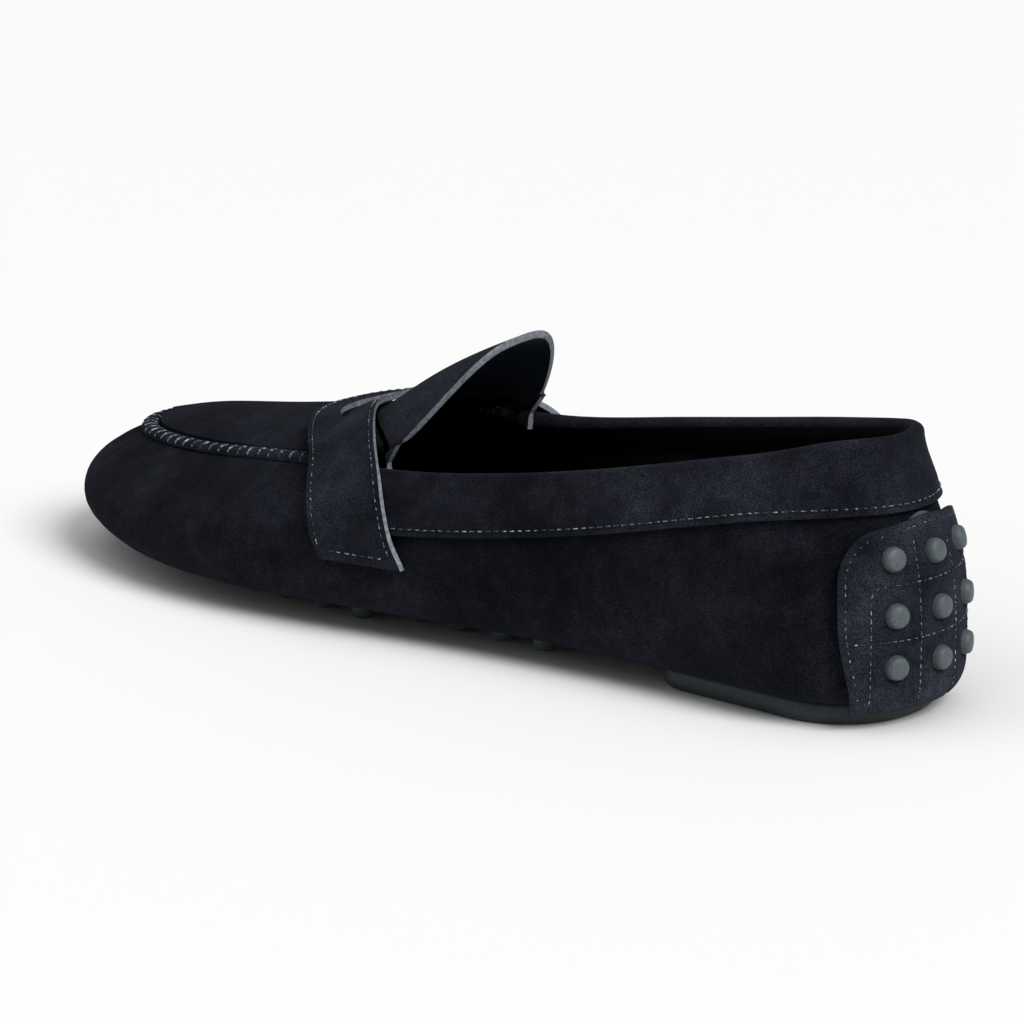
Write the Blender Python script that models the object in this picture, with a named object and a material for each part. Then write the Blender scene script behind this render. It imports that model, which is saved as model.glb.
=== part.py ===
"""Driving moccasin for the left foot.

A suede bowl is drawn up round the foot and sewn to an apron. A folded collar, a saddle strap, a
tongue and a heel patch finish it, and rubber studs come through holes in its bottom and its back.
Toe towards -Y, outer side towards +X. Every size below is in millimetres.
"""
import bmesh
import bpy
import numpy as np
from functools import lru_cache
from math import cos, pi, sin, sqrt
from mathutils import Matrix, Vector

MM = 0.001
GAP = 0.3                 # clearance between neighbouring pieces
OVERLAY_GAP = 0.6         # and under leather that lies on a curved wall

# Driving sizes of the last
LENGTH = 283.0
BALL_WIDTH = 97.0
HEEL_HEIGHT = 64.8        # top of the suede wall at the back of the heel
INSTEP_HEIGHT = 52.8      # crest of the tongue where it goes under the saddle strap
WALL = 1.8
BOTTOM_LIFT = 6.0         # height of the suede bottom above the floor
ARCH_LIFT = 2.6
ARCH_CENTRE = 112.0
ARCH_REACH = 46.0
ARCH_HALF = 30.0          # across: where the lift starts and ends
SPRING_START = 224.0
TOE_SPRING = 6.5

# The wall's section at stations round the shoe. along and across are shares of the length and of
# half the ball width, rim is a share of the heel height. lean is how far the rim stands inside the
# widest line, widest is that line's height, tuck how far the bottom stands inside it, curl the
# power of the curve between widest line and rim, and swell how much the collar straightens it.
STATION_COLUMNS = ("along", "across", "rim", "lean", "widest", "tuck", "curl", "swell")
STATIONS = (
    # back of the heel, then the outer side forward
    (0.000, 0.000, 1.022, 10.3, 10.5, 2.6, 1.60, 1.0),
    (0.021, 0.392, 1.028, 10.0, 11.0, 3.4, 1.60, 1.0),
    (0.067, 0.606, 1.006, 10.0, 14.5, 6.0, 1.60, 0.9),
    (0.148, 0.658, 0.929, 9.0, 17.0, 8.0, 1.70, 0.7),
    (0.254, 0.685, 0.822, 6.6, 17.5, 8.5, 1.70, 0.5),
    (0.367, 0.742, 0.727, 5.6, 16.5, 9.0, 1.70, 0.3),
    (0.488, 0.856, 0.660, 8.0, 15.5, 9.5, 1.90, 0.1),
    (0.622, 0.990, 0.618, 16.0, 15.0, 9.5, 2.10, 0.0),
    (0.749, 0.994, 0.560, 20.0, 14.5, 9.5, 2.20, 0.0),
    (0.862, 0.821, 0.520, 19.0, 15.0, 10.0, 2.20, 0.0),
    (0.954, 0.495, 0.500, 17.0, 16.5, 11.0, 2.20, 0.0),
    # tip of the toe, then the inner side back
    (1.000, -0.062, 0.492, 16.0, 18.0, 12.0, 2.20, 0.0),
    (0.954, -0.600, 0.508, 17.0, 17.0, 11.5, 2.20, 0.0),
    (0.859, -0.876, 0.541, 19.0, 15.5, 10.5, 2.20, 0.0),
    (0.735, -1.000, 0.600, 20.0, 15.0, 10.0, 2.20, 0.0),
    (0.608, -0.928, 0.680, 16.0, 16.5, 10.5, 2.10, 0.0),
    (0.488, -0.779, 0.708, 8.0, 18.5, 11.0, 1.90, 0.1),
    (0.367, -0.685, 0.788, 4.6, 20.0, 11.0, 1.70, 0.3),
    (0.254, -0.656, 0.870, 5.0, 19.0, 9.5, 1.70, 0.5),
    (0.148, -0.649, 0.951, 8.0, 17.0, 8.0, 1.70, 0.7),
    (0.067, -0.598, 1.001, 10.0, 14.5, 6.0, 1.60, 0.9),
    (0.021, -0.388, 1.020, 10.0, 11.0, 3.4, 1.60, 1.0),
)
TOE_STATION = 11

# Crest of tongue and apron on the centre line: share of the length, share of the instep height
CREST = (
    (0.440, 1.458),
    (0.541, 1.190),
    (0.600, 1.000),
    (0.640, 0.922),
    (0.707, 0.862),
    (0.795, 0.800),
    (0.883, 0.727),
    (0.961, 0.629),
)
CROWN_POWER = 2.2         # roundness of the crown from rim to rim
TIP_POWER = 3.2           # and at the tongue's tip, where it stands fuller
SWELL_POWER = 1.8         # height at which the heel's wall straightens under the collar

# Suede trim
COLLAR_DEPTH = 14.0       # outer leaf of the folded collar, below the rim
COLLAR_HEEL_DROP = 1.6    # how much deeper it is at the back
COLLAR_INSIDE = 7.0
COLLAR_LEATHER = 1.3
COLLAR_END = 154.0        # along: hidden under the strap
STRAP_BACK = 170.0        # rear edge of the saddle strap on the centre line
STRAP_WIDTH = 25.0
STRAP_SWEEP = 25.0        # how far back it has swept where it reaches the rims
STRAP_WING_SWEEP = 11.0   # and farther back at the feet of its wings
STRAP_FOOT = 21.0         # height of the feet
STRAP_LEATHER = 1.5
SLOT_SHARE = 0.62         # half length of the slot, as a share of the crown's half width
SLOT_WIDTH = 8.0
APRON_BACK = 175.4
APRON_LEATHER = 1.8
APRON_BLUNT = 22.0        # length of its rounded front
SEAM_BACK = 175.0         # along, at the rims
SEAM_WIDTH = 4.6
SEAM_HEIGHT = 2.4
TONGUE_TIP = 128.0
TONGUE_FRONT = 172.8
TONGUE_LEATHER = 2.0
TONGUE_SIDE_GAP = 4.4     # from the rim's outer face to the tongue's edge
TONGUE_TIP_DEPTH = 15.0   # how much shorter it is at its sides

# Heel patch and the rubber sheet behind it
PATCH_REACH = 27.0        # from the back centre round to its front edge, along the widest line
PATCH_TOP = 47.6
PATCH_TAB = 1.5           # how much higher it stands at the back centre
PATCH_TAPER = 4.2         # how much shorter it reaches at its foot
PATCH_CORNER = 11.0
PATCH_FOOT = 6.6
PATCH_LEATHER = 1.2
SHEET_RUBBER = 0.8
SHEET_MARGIN = 3.0
SHEET_TOP = 48.5
SHEET_FOOT = 12.2
HEEL_STUD_ROWS = (16.0, 28.3, 41.0)
HEEL_STUD_TURN = 13.4     # from the back centre to the outer columns, round the heel
HEEL_STUD_RISE = 2.1      # how far a stud stands out of the patch
STUD_RADIUS = 3.15

# Rubber under the foot
PLATE_BACK = 3.6
PLATE_FRONT = 66.5
PLATE_HALF_WIDTH = 23.5
PLATE_BACK_RADIUS = 22.0
PLATE_FRONT_RADIUS = 8.0
PLATE_EDGE = 2.4
STUD_PITCH_ALONG = 14.0
STUD_PITCH_ACROSS = 16.0
STUD_FIRST_ROW = 77.0
STUD_ROWS = 12
STUD_MARGIN = 8.0         # from the edge of the level bottom to a stud's centre
SOLE_RUBBER = 1.4
INSOLE_THICKNESS = 2.6
LINER_CLEARANCE = 0.7     # between the wall's inside and the edge of sole sheet and insole

# Fineness of the lofts
COLUMNS_PER_SIDE = 28
WALL_STEPS_BELOW = 3
WALL_STEPS_ABOVE = 5
SEAM_STEPS = 36
STRAP_ROWS = 5
STUD_SIDES = 8
HEEL_STUD_SIDES = 8

NAME = "driving_moccasin"


def cubic(knots, values, wanted):
    """Natural cubic spline through the values, read at the wanted places."""
    knots = np.asarray(knots, float)
    values = np.asarray(values, float)
    count = len(knots)
    steps = np.diff(knots)
    slopes = np.diff(values) / steps
    system = np.eye(count)
    right = np.zeros(count)
    for i in range(1, count - 1):
        system[i, i - 1] = steps[i - 1]
        system[i, i] = 2 * (steps[i - 1] + steps[i])
        system[i, i + 1] = steps[i]
        right[i] = 6 * (slopes[i] - slopes[i - 1])
    bend = np.linalg.solve(system, right)
    wanted = np.asarray(wanted, float)
    cell = np.clip(np.searchsorted(knots, wanted) - 1, 0, count - 2)
    step = steps[cell]
    left = (knots[cell + 1] - wanted) / step
    rest = 1 - left
    curve = (left ** 3 - left) * bend[cell] + (rest ** 3 - rest) * bend[cell + 1]
    return left * values[cell] + rest * values[cell + 1] + curve * step ** 2 / 6


def station_values():
    """Each station's column values in millimetres, by name."""
    table = {}
    for index, name in enumerate(STATION_COLUMNS):
        table[name] = np.array([row[index] for row in STATIONS])
    table["along"] = table["along"] * LENGTH
    table["across"] = table["across"] * BALL_WIDTH / 2
    table["rim"] = table["rim"] * HEEL_HEIGHT
    return table


def station_places(table):
    """Place of each station round the shoe: 0 at the heel, 0.5 at the toe, 1 at the heel again."""
    along = np.append(table["along"], table["along"][0])
    across = np.append(table["across"], table["across"][0])
    run = np.concatenate([[0], np.cumsum(np.hypot(np.diff(along), np.diff(across)))])
    toe = run[TOE_STATION]
    outer = run[:TOE_STATION] / toe / 2
    inner = 0.5 + (run[TOE_STATION:-1] - toe) / (run[-1] - toe) / 2
    return np.concatenate([outer, inner])


TABLE = station_values()
PLACES = station_places(TABLE)
ROUNDS = np.concatenate([PLACES - 1, PLACES, PLACES + 1])


def read(name, place):
    """A station column at any place round the shoe."""
    return cubic(ROUNDS, np.tile(TABLE[name], 3), np.mod(place, 1.0))


def crest_height(along):
    """Height of the tongue's or apron's crest."""
    rows = np.array(CREST)
    return float(cubic(rows[:, 0] * LENGTH, rows[:, 1] * INSTEP_HEIGHT, along))


def ease(share):
    share = min(max(share, 0.0), 1.0)
    return share * share * (3 - 2 * share)


def bottom_height(along, across):
    """Height of the suede bottom: level, lifted under the arch and at the toe."""
    spring = max(0.0, (along - SPRING_START) / (LENGTH - SPRING_START))
    reach = ease(1 - abs(along - ARCH_CENTRE) / ARCH_REACH)
    inner = min(max((ARCH_HALF - across) / (2 * ARCH_HALF), 0.0), 1.0)
    return BOTTOM_LIFT + TOE_SPRING * spring ** 1.8 + ARCH_LIFT * reach * inner


class Section:
    """The wall's section at one place round the shoe."""

    def __init__(self, place):
        self.place = place
        for name in STATION_COLUMNS:
            setattr(self, name, float(read(name, place)))
        ahead = 0.0015
        run_along = float(read("along", place + ahead) - read("along", place - ahead))
        run_across = float(read("across", place + ahead) - read("across", place - ahead))
        size = sqrt(run_along ** 2 + run_across ** 2)
        # Going forward on the outer side, the inside of the shoe is towards smaller across
        self.inward = (run_across / size, -run_along / size)
        under = (self.along + self.inward[0] * self.tuck, self.across + self.inward[1] * self.tuck)
        self.bottom = bottom_height(*under)

    def point(self, level, out=0.0):
        """A point of the wall's outer face, pushed out along its normal.

        level runs from -1 at the bottom, over 0 at the widest line, to 1 at the rim.
        """
        if level < 0:
            turn = (1 + level) * pi / 2
            height = self.widest - self.bottom
            inset = self.tuck * (1 - sin(turn))
            z = self.bottom + height * (1 - cos(turn))
            normal = (height * sin(turn), -self.tuck * cos(turn))
        else:
            height = self.rim - self.widest
            inset = self.lean * self.leaning(level)
            z = self.widest + height * level
            slope = (self.leaning(level + 0.001) - self.leaning(level)) / 0.001
            normal = (height, self.lean * slope)
        size = sqrt(normal[0] ** 2 + normal[1] ** 2)
        inset -= out * normal[0] / size
        z += out * normal[1] / size
        along = self.along + self.inward[0] * inset
        across = self.across + self.inward[1] * inset
        return Vector((across, -along, z))

    def leaning(self, level):
        """Share of the lean that is reached at a level above the widest line."""
        upright = (1 - cos(pi * min(level, 1.0) ** SWELL_POWER)) / 2
        return (1 - self.swell) * level ** self.curl + self.swell * upright

    def level_at(self, z):
        """The level at a height of the outer face."""
        if z >= self.widest:
            return min((z - self.widest) / (self.rim - self.widest), 1.0)
        rise = max(z - self.bottom, 0.0) / (self.widest - self.bottom)
        return np.arccos(1 - rise) / (pi / 2) - 1

    def at_height(self, z, out=0.0):
        return self.point(self.level_at(z), out)


def side_places(count, start=0.0, end=0.5):
    """Places from heel to toe, closer together at both ends."""
    steps = np.linspace(0, 1, count + 1)
    eased = 0.55 * steps + 0.45 * (1 - np.cos(pi * steps)) / 2
    return start + (end - start) * eased


FINE_SIDES = {True: np.linspace(0.02, 0.5, 200), False: np.linspace(0.98, 0.5, 200)}


@lru_cache(maxsize=None)
def rim_line(outer_side, inset):
    """The rim's line on one side, moved inwards by the inset: along, across and height."""
    rows = []
    for place in FINE_SIDES[outer_side]:
        section = Section(place)
        point = section.point(1.0)
        rows.append((-point.y + section.inward[0] * inset, point.x + section.inward[1] * inset, point.z))
    return np.array(rows).T


def rim_section(along, outer_side):
    """The section whose rim lies that far along, on the outer or the inner side."""
    return Section(float(np.interp(along, rim_line(outer_side, 0.0)[0], FINE_SIDES[outer_side])))


def rim_point(along, outer_side, inset):
    """The point of the moved rim line that lies that far along."""
    line = rim_line(outer_side, inset)
    return Vector((np.interp(along, line[0], line[1]), -along, np.interp(along, line[0], line[2])))


def crown_point(along, share, inset, lift, power=CROWN_POWER):
    """A point of the crown from rim to rim. share runs from 1 on the outer side to -1."""
    outer = rim_point(along, True, inset)
    inner = rim_point(along, False, inset)
    full = rim_point(along, True, 0.0) - rim_point(along, False, 0.0)
    low = inner.lerp(outer, (share + 1) / 2)
    rise = max(crest_height(along) - (outer.z + inner.z) / 2, 0.5)
    low.z += rise * (1 - min(abs(share * (outer.x - inner.x) / full.x), 1.0) ** power) + lift
    return low


def tidy(mesh, smooth_angle=40):
    """Merge doubled points and shade the round faces smooth."""
    work = bmesh.new()
    work.from_mesh(mesh)
    bmesh.ops.remove_doubles(work, verts=work.verts, dist=0.00001)
    bmesh.ops.recalc_face_normals(work, faces=work.faces)
    work.to_mesh(mesh)
    work.free()
    mesh.shade_smooth()
    mesh.set_sharp_from_angle(angle=smooth_angle * pi / 180)


def add_object(name, mesh, material, collection):
    item = bpy.data.objects.new(name, mesh)
    if material:
        mesh.materials.append(material)
    collection.objects.link(item)
    return item


def mesh_from(name, points, faces):
    mesh = bpy.data.meshes.new(name)
    mesh.from_pydata([point * MM for point in points], [], faces)
    tidy(mesh)
    return mesh


def loft(name, sections, ends=None):
    """A closed body through closed sections of equally many points. ends are the faces that cap it."""
    count = len(sections[0])
    points = [point for section in sections for point in section]
    faces = []
    for row in range(len(sections) - 1):
        for i in range(count):
            j = (i + 1) % count
            a = row * count
            b = a + count
            faces.append((a + i, a + j, b + j, b + i))
    last = (len(sections) - 1) * count
    faces += ends or [tuple(range(count)), tuple(range(last, last + count))]
    return mesh_from(name, points, faces)


def ring_slab(name, lower, upper):
    """A closed slab between two rings that start at the heel and have their toe half way."""
    count = len(lower)
    points = list(lower) + list(upper)
    faces = []
    for i in range(count):
        j = (i + 1) % count
        faces.append((i, j, count + j, count + i))
    for base in (0, count):
        faces += ladder(base, count)
    return mesh_from(name, points, faces)


def ladder(base, count):
    """Faces across a ring, each between two points of one side and the two opposite."""
    half = count // 2
    faces = [(base, base + 1, base + count - 1)]
    for i in range(1, half - 1):
        faces.append((base + i, base + i + 1, base + count - i - 1, base + count - i))
    faces.append((base + half - 1, base + half, base + half + 1))
    return faces


def ring_sections():
    """Sections all round the shoe, heel first, with the toe half way."""
    places = side_places(COLUMNS_PER_SIDE)
    forward = [Section(place) for place in places]
    back = [Section(1 - place) for place in places[-2:0:-1]]
    return forward + back


def material(name, colour, roughness, metallic=0.0):
    """Principled material. colour is linear red, green and blue."""
    made = bpy.data.materials.new(name)
    made.use_nodes = True
    made.diffuse_color = (*colour, 1)
    shader = made.node_tree.nodes["Principled BSDF"]
    shader.inputs["Base Color"].default_value = (*colour, 1)
    shader.inputs["Roughness"].default_value = roughness
    shader.inputs["Metallic"].default_value = metallic
    return made


def cut(item, cutter, operation="DIFFERENCE"):
    change = item.modifiers.new(cutter.name, "BOOLEAN")
    change.object = cutter
    change.operation = operation
    change.solver = "EXACT"
    cutter.hide_render = True
    cutter.display_type = "WIRE"


def stud_profile(foot, tip, radius):
    """Radius and height of a stud from its foot to its rounded tip."""
    rise = 0.6 * radius
    return [(radius, foot), (radius, tip - rise), (radius * 0.8, tip - rise * 0.2), (radius * 0.5, tip)]


def turned(profile, sides, place):
    """Rings of a turned body, as points moved to their place by a matrix."""
    rings = []
    for radius, height in profile:
        ring = []
        for i in range(sides):
            angle = 2 * pi * (i + 0.5) / sides
            ring.append(place @ Vector((radius * cos(angle), radius * sin(angle), height)))
        rings.append(ring)
    return rings


def turned_bodies(name, bodies):
    """One mesh of several separate turned bodies, each a list of rings."""
    points = []
    faces = []
    for rings in bodies:
        count = len(rings[0])
        base = len(points)
        for ring in rings:
            points += ring
        for row in range(len(rings) - 1):
            for i in range(count):
                j = (i + 1) % count
                a = base + row * count
                faces.append((a + i, a + j, a + count + j, a + count + i))
        faces.append(tuple(base + i for i in range(count)))
        top = base + (len(rings) - 1) * count
        faces.append(tuple(top + i for i in range(count)))
    return mesh_from(name, points, faces)


def heel_stud_places():
    """Matrices at the nine studs of the heel, Z outwards, on the wall's outer face."""
    places = []
    for height in HEEL_STUD_ROWS:
        for column in (1, 0, -1):
            section = Section(heel_place(column * HEEL_STUD_TURN))
            base = section.at_height(height)
            outward = (section.at_height(height, 1.0) - base).normalized()
            turn = outward.to_track_quat("Z", "Y").to_matrix().to_4x4()
            places.append(Matrix.Translation(base) @ turn)
    return places


def heel_place(run):
    """Place round the shoe at a distance from the back centre along the widest line."""
    fine = np.linspace(0, 0.12, 80)
    if run < 0:
        fine = -fine
    along = read("along", fine)
    across = read("across", fine)
    distance = np.concatenate([[0], np.cumsum(np.hypot(np.diff(along), np.diff(across)))])
    return float(np.interp(abs(run), distance, fine)) if run >= 0 else float(-np.interp(-run, distance, -fine))


def stud_places():
    """Across and along of each stud under the foot."""
    places = []
    for row in range(STUD_ROWS):
        along = STUD_FIRST_ROW + row * STUD_PITCH_ALONG
        outer, inner = bottom_edges(along)
        outer -= STUD_MARGIN
        inner += STUD_MARGIN
        count = int((outer - inner) // STUD_PITCH_ACROSS) + 1
        start = (outer + inner - (count - 1) * STUD_PITCH_ACROSS) / 2
        for i in range(count):
            places.append((start + i * STUD_PITCH_ACROSS, along))
    return places


def bottom_edges(along):
    """Across of the level bottom's outer and inner edge."""
    edges = []
    for fine in (np.linspace(0.01, 0.5, 240), np.linspace(0.99, 0.5, 240)):
        rows = [Section(place).point(-1.0) for place in fine]
        edges.append(float(np.interp(along, [-p.y for p in rows], [p.x for p in rows])))
    return edges


def make_upper(suede, parts, cutters):
    """Bowl of suede with a wall of even thickness, pierced underneath for the studs."""
    below = [-1 + i / WALL_STEPS_BELOW for i in range(WALL_STEPS_BELOW)]
    above = [sin(pi / 2 * i / WALL_STEPS_ABOVE) for i in range(WALL_STEPS_ABOVE + 1)]
    levels = below + above
    sections = ring_sections()
    count = len(sections)
    rings = [[section.point(level) for section in sections] for level in levels]
    rings += [[section.point(level, -WALL) for section in sections] for level in reversed(levels)]
    points = [point for ring in rings for point in ring]
    faces = []
    for row in range(len(rings) - 1):
        for i in range(count):
            j = (i + 1) % count
            a = row * count
            faces.append((a + i, a + j, a + count + j, a + count + i))
    faces += ladder(0, count)
    faces += ladder((len(rings) - 1) * count, count)
    upper = add_object("upper", mesh_from("upper", points, faces), suede, parts)
    holes = []
    for across, along in stud_places():
        low = bottom_height(along, across) - 3
        place = Matrix.Translation(Vector((across, -along, low)))
        holes.append(turned([(STUD_RADIUS + GAP, 0), (STUD_RADIUS + GAP, WALL + 6)], STUD_SIDES, place))
    cut(upper, add_object("sole_stud_holes", turned_bodies("sole_stud_holes", holes), None, cutters))
    return upper


def liner_ring(sections, height, clearance):
    """Ring inside the wall, a height above the inner face of the bottom."""
    ring = []
    levels = np.linspace(-1, 0.5, 40)
    for section in sections:
        wanted = section.bottom + WALL + height
        heights = [section.point(level, -WALL - clearance).z for level in levels]
        edge = section.point(float(np.interp(wanted, heights, levels)), -WALL - clearance)
        ring.append(Vector((edge.x, edge.y, bottom_height(-edge.y, edge.x) + WALL + height)))
    return ring


def make_sole(rubber, parts, cutters):
    """Thin rubber sheet inside the bottom, with the studs that come through it."""
    sections = ring_sections()[::2]
    low = liner_ring(sections, OVERLAY_GAP, LINER_CLEARANCE)
    high = [point + Vector((0, 0, SOLE_RUBBER)) for point in low]
    sole = add_object("stud_sole", ring_slab("stud_sole", low, high), rubber, parts)
    studs = []
    for across, along in stud_places():
        sheet = bottom_height(along, across) + WALL + OVERLAY_GAP + SOLE_RUBBER / 2
        tip = bottom_height(along, across) - BOTTOM_LIFT
        flip = Matrix.Rotation(pi, 4, "X")
        place = Matrix.Translation(Vector((across, -along, sheet))) @ flip
        studs.append(turned(stud_profile(0, sheet - tip, STUD_RADIUS), STUD_SIDES, place))
    cut(sole, add_object("sole_studs", turned_bodies("sole_studs", studs), None, cutters), "UNION")
    return sole


def make_insole(leather, parts):
    sections = ring_sections()[::2]
    base = OVERLAY_GAP + SOLE_RUBBER + GAP
    low = liner_ring(sections, base, LINER_CLEARANCE)
    high = liner_ring(sections, base + INSOLE_THICKNESS, LINER_CLEARANCE)
    return add_object("insole", ring_slab("insole", low, high), leather, parts)


def plate_outline():
    """Outline of the rubber heel piece, from the middle of its back round the outer side."""
    outline = []
    corners = (
        (PLATE_BACK + PLATE_BACK_RADIUS, PLATE_HALF_WIDTH - PLATE_BACK_RADIUS, PLATE_BACK_RADIUS, 180),
        (PLATE_FRONT - PLATE_FRONT_RADIUS, PLATE_HALF_WIDTH - PLATE_FRONT_RADIUS, PLATE_FRONT_RADIUS, 90),
    )
    for along, across, radius, start in corners:
        for step in range(7):
            angle = (start - step * 90 / 6) * pi / 180
            outline.append((along + radius * cos(angle), across + radius * sin(angle)))
    mirrored = [(along, -across) for along, across in reversed(outline)]
    return outline + mirrored


def make_heel_plate(rubber, parts):
    """Flat rubber piece under the heel with rounded lower edges."""
    outline = plate_outline()
    middle = (PLATE_BACK + PLATE_FRONT) / 2
    rings = []
    rounding = [(PLATE_EDGE * (1 - sin(turn * pi / 6)), PLATE_EDGE * (1 - cos(turn * pi / 6))) for turn in range(4)]
    for inset, height in rounding + [(0, BOTTOM_LIFT - GAP)]:
        ring = []
        for along, across in outline:
            share_along = 1 - inset / (PLATE_FRONT - middle)
            share_across = 1 - inset / PLATE_HALF_WIDTH
            ring.append(Vector((across * share_across, -(middle + (along - middle) * share_along), height)))
        rings.append(ring)
    return add_object("heel_plate", loft("heel_plate", rings), rubber, parts)


def collar_depth(section):
    """Depth of the collar's outer leaf, which is greatest at the back of the heel."""
    return COLLAR_DEPTH + COLLAR_HEEL_DROP * ease(1 - section.along / 40)


def make_collar(suede, parts):
    """Suede folded over the rim round the opening, its outer leaf ending in a raw edge."""
    outer_end = rim_section(COLLAR_END, True).place
    inner_end = rim_section(COLLAR_END, False).place - 1
    sections = []
    near = OVERLAY_GAP
    far = near + COLLAR_LEATHER
    forward = side_places(COLUMNS_PER_SIDE)
    columns = [place for place in np.concatenate([-forward[:0:-1], forward]) if inner_end < place < outer_end]
    for place in [inner_end] + columns + [outer_end]:
        section = Section(place)
        foot = section.level_at(section.rim - collar_depth(section))
        third = (1 - foot) / 3
        hem = section.level_at(section.rim - COLLAR_INSIDE)
        sections.append([
            section.point(foot, near),
            section.point(foot, far),
            section.point(foot + third, far),
            section.point(1.0 - third, far),
            section.point(1.0, far),
            section.point(1.0, far) + crown_of(section, 0.25, far),
            section.point(1.0, -WALL / 2) + crown_of(section, 0.0, far),
            section.point(1.0, -WALL - far) + crown_of(section, 0.25, far),
            section.point(1.0, -WALL - far),
            section.point(hem, -WALL - far),
            section.point(hem, -WALL - near),
            section.point(1.0, -WALL - near) + Vector((0, 0, near)),
            section.point(1.0, near) + Vector((0, 0, near)),
            section.point(1.0 - third, near),
            section.point(foot + third, near),
        ])
    return add_object("collar", loft("collar", sections), suede, parts)


def crown_of(section, drop, far):
    """Height of the collar's fold above the rim."""
    return Vector((0, 0, far * (1 - drop)))


def swept(along, share):
    """Distance along of a line that sweeps back from the centre towards the rims."""
    return along - STRAP_SWEEP * abs(share) ** 1.7


def make_apron(suede, parts):
    """Plug over the toes, crowned between the rims and reaching back under the strap."""
    sections = []
    shares = np.linspace(1, -1, 9)
    inset = SEAM_WIDTH + GAP
    blunt = rim_line(True, inset)[0][-1] - APRON_BLUNT
    for step in np.linspace(0, 1, 9):
        top = []
        for share in shares:
            along = swept(APRON_BACK, share) * (1 - step) + blunt * step
            top.append(crown_point(along, share, inset, 0.0))
        sections.append(slab_section(top, APRON_LEATHER))
    for reach in SHARES_TO_TOE:
        top = [crown_point(blunt + APRON_BLUNT * reach, share, inset, 0.0) for share in shares]
        sections.append(slab_section(top, APRON_LEATHER))
    return add_object("apron", loft("apron", sections, slab_ends(sections)), suede, parts)


def slab_section(top, thickness):
    """Closed section below a row of points."""
    return top + [point - Vector((0, 0, thickness)) for point in reversed(top)]


def slab_ends(sections):
    """Faces across the first and the last section of a slab, from its top row to its bottom row."""
    count = len(sections[0])
    faces = []
    for base in (0, (len(sections) - 1) * count):
        for i in range(count // 2 - 1):
            faces.append((base + i, base + i + 1, base + count - 2 - i, base + count - 1 - i))
    return faces


SHARES_TO_TOE = np.array([0.3, 0.55, 0.75, 0.89, 0.97, 0.995])


def make_seam(suede, parts):
    """Raised seam that joins apron and wall, from the strap round the toe and back."""
    start = rim_section(SEAM_BACK, True).place
    end = rim_section(SEAM_BACK, False).place
    sections = []
    for i in range(SEAM_STEPS + 1):
        section = Section(start + (end - start) * i / SEAM_STEPS)
        edge = section.point(1.0)
        inward = Vector((section.inward[1], -section.inward[0], 0))
        base = edge + Vector((0, 0, GAP + 0.25))
        profile = ((-0.3, 0.0), (0.2, 0.62), (1.2, 1.0), (SEAM_WIDTH - 1.4, 1.0), (SEAM_WIDTH - 0.5, 0.6),
                   (SEAM_WIDTH - 0.3, 0.25))
        sections.append([base + inward * run + Vector((0, 0, SEAM_HEIGHT * rise)) for run, rise in profile])
    return add_object("apron_seam", loft("apron_seam", sections), suede, parts)


def make_tongue(suede, parts):
    """Arched flap from under the strap back over the foot, shorter at its sides."""
    sections = []
    shares = np.linspace(1, -1, 13)
    for step in np.linspace(0, 1, 7):
        top = []
        for share in shares:
            tip = TONGUE_TIP + TONGUE_TIP_DEPTH * abs(share) ** 3.4
            along = swept(TONGUE_FRONT, share) * (1 - step) + tip * step
            power = CROWN_POWER * (1 - step) + TIP_POWER * step
            top.append(crown_point(along, share, TONGUE_SIDE_GAP, 0.0, power))
        sections.append(slab_section(top, TONGUE_LEATHER))
    return add_object("tongue", loft("tongue", sections, slab_ends(sections)), suede, parts)


def strap_row(back):
    """The strap's underside from wing to wing, on the line that starts there on the centre."""
    crown = []
    collar = OVERLAY_GAP + COLLAR_LEATHER
    for share in np.linspace(0.985, -0.985, 15):
        over = OVERLAY_GAP + collar * ease(1.3 * abs(share))
        crown.append(crown_point(swept(back, share), share, -collar - OVERLAY_GAP, over))
    wings = []
    for outer_side in (True, False):
        wing = []
        for i in range(6):
            drop = i / 5
            section = rim_section(back - STRAP_SWEEP - STRAP_WING_SWEEP * drop, outer_side)
            top = section.rim - 1.0
            height = top + (STRAP_FOOT - top) * drop
            under = ease((height - section.rim + COLLAR_DEPTH + 7) / 6)
            wing.append(section.at_height(height, OVERLAY_GAP + collar * under))
        wings.append(wing)
    return wings[0][::-1] + crown + wings[1]


def make_strap(suede, parts, cutters):
    """Saddle strap across the instep, with a slot at its middle."""
    sections = []
    for back in np.linspace(STRAP_BACK, STRAP_BACK + STRAP_WIDTH, STRAP_ROWS):
        under = strap_row(back)
        over = []
        for i, point in enumerate(under):
            before = under[max(i - 1, 0)]
            after = under[min(i + 1, len(under) - 1)]
            run = after - before
            normal = Vector((-run.z, 0, run.x)).normalized()
            if normal.dot(point - Vector((0, point.y, 20.0))) < 0:
                normal = -normal
            over.append(point + normal * STRAP_LEATHER)
        sections.append(under + over[::-1])
    strap = add_object("saddle_strap", loft("saddle_strap", sections), suede, parts)
    cut(strap, add_object("strap_slot", slot_mesh(), None, cutters))
    return strap


def slot_mesh():
    """Almond-shaped prism through the middle of the strap, swept as the strap is."""
    rings = []
    for height in (38.0, 80.0):
        ring = []
        for i in range(20):
            angle = 2 * pi * i / 20
            share = SLOT_SHARE * cos(angle)
            middle = swept(STRAP_BACK + STRAP_WIDTH / 2, share)
            along = middle + SLOT_WIDTH / 2 * sin(angle) * abs(sin(angle)) ** 0.3
            across = crown_point(middle, share, 0.0, 0.0).x
            ring.append(Vector((across, -along, height)))
        rings.append(ring)
    return loft("strap_slot", rings)


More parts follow.
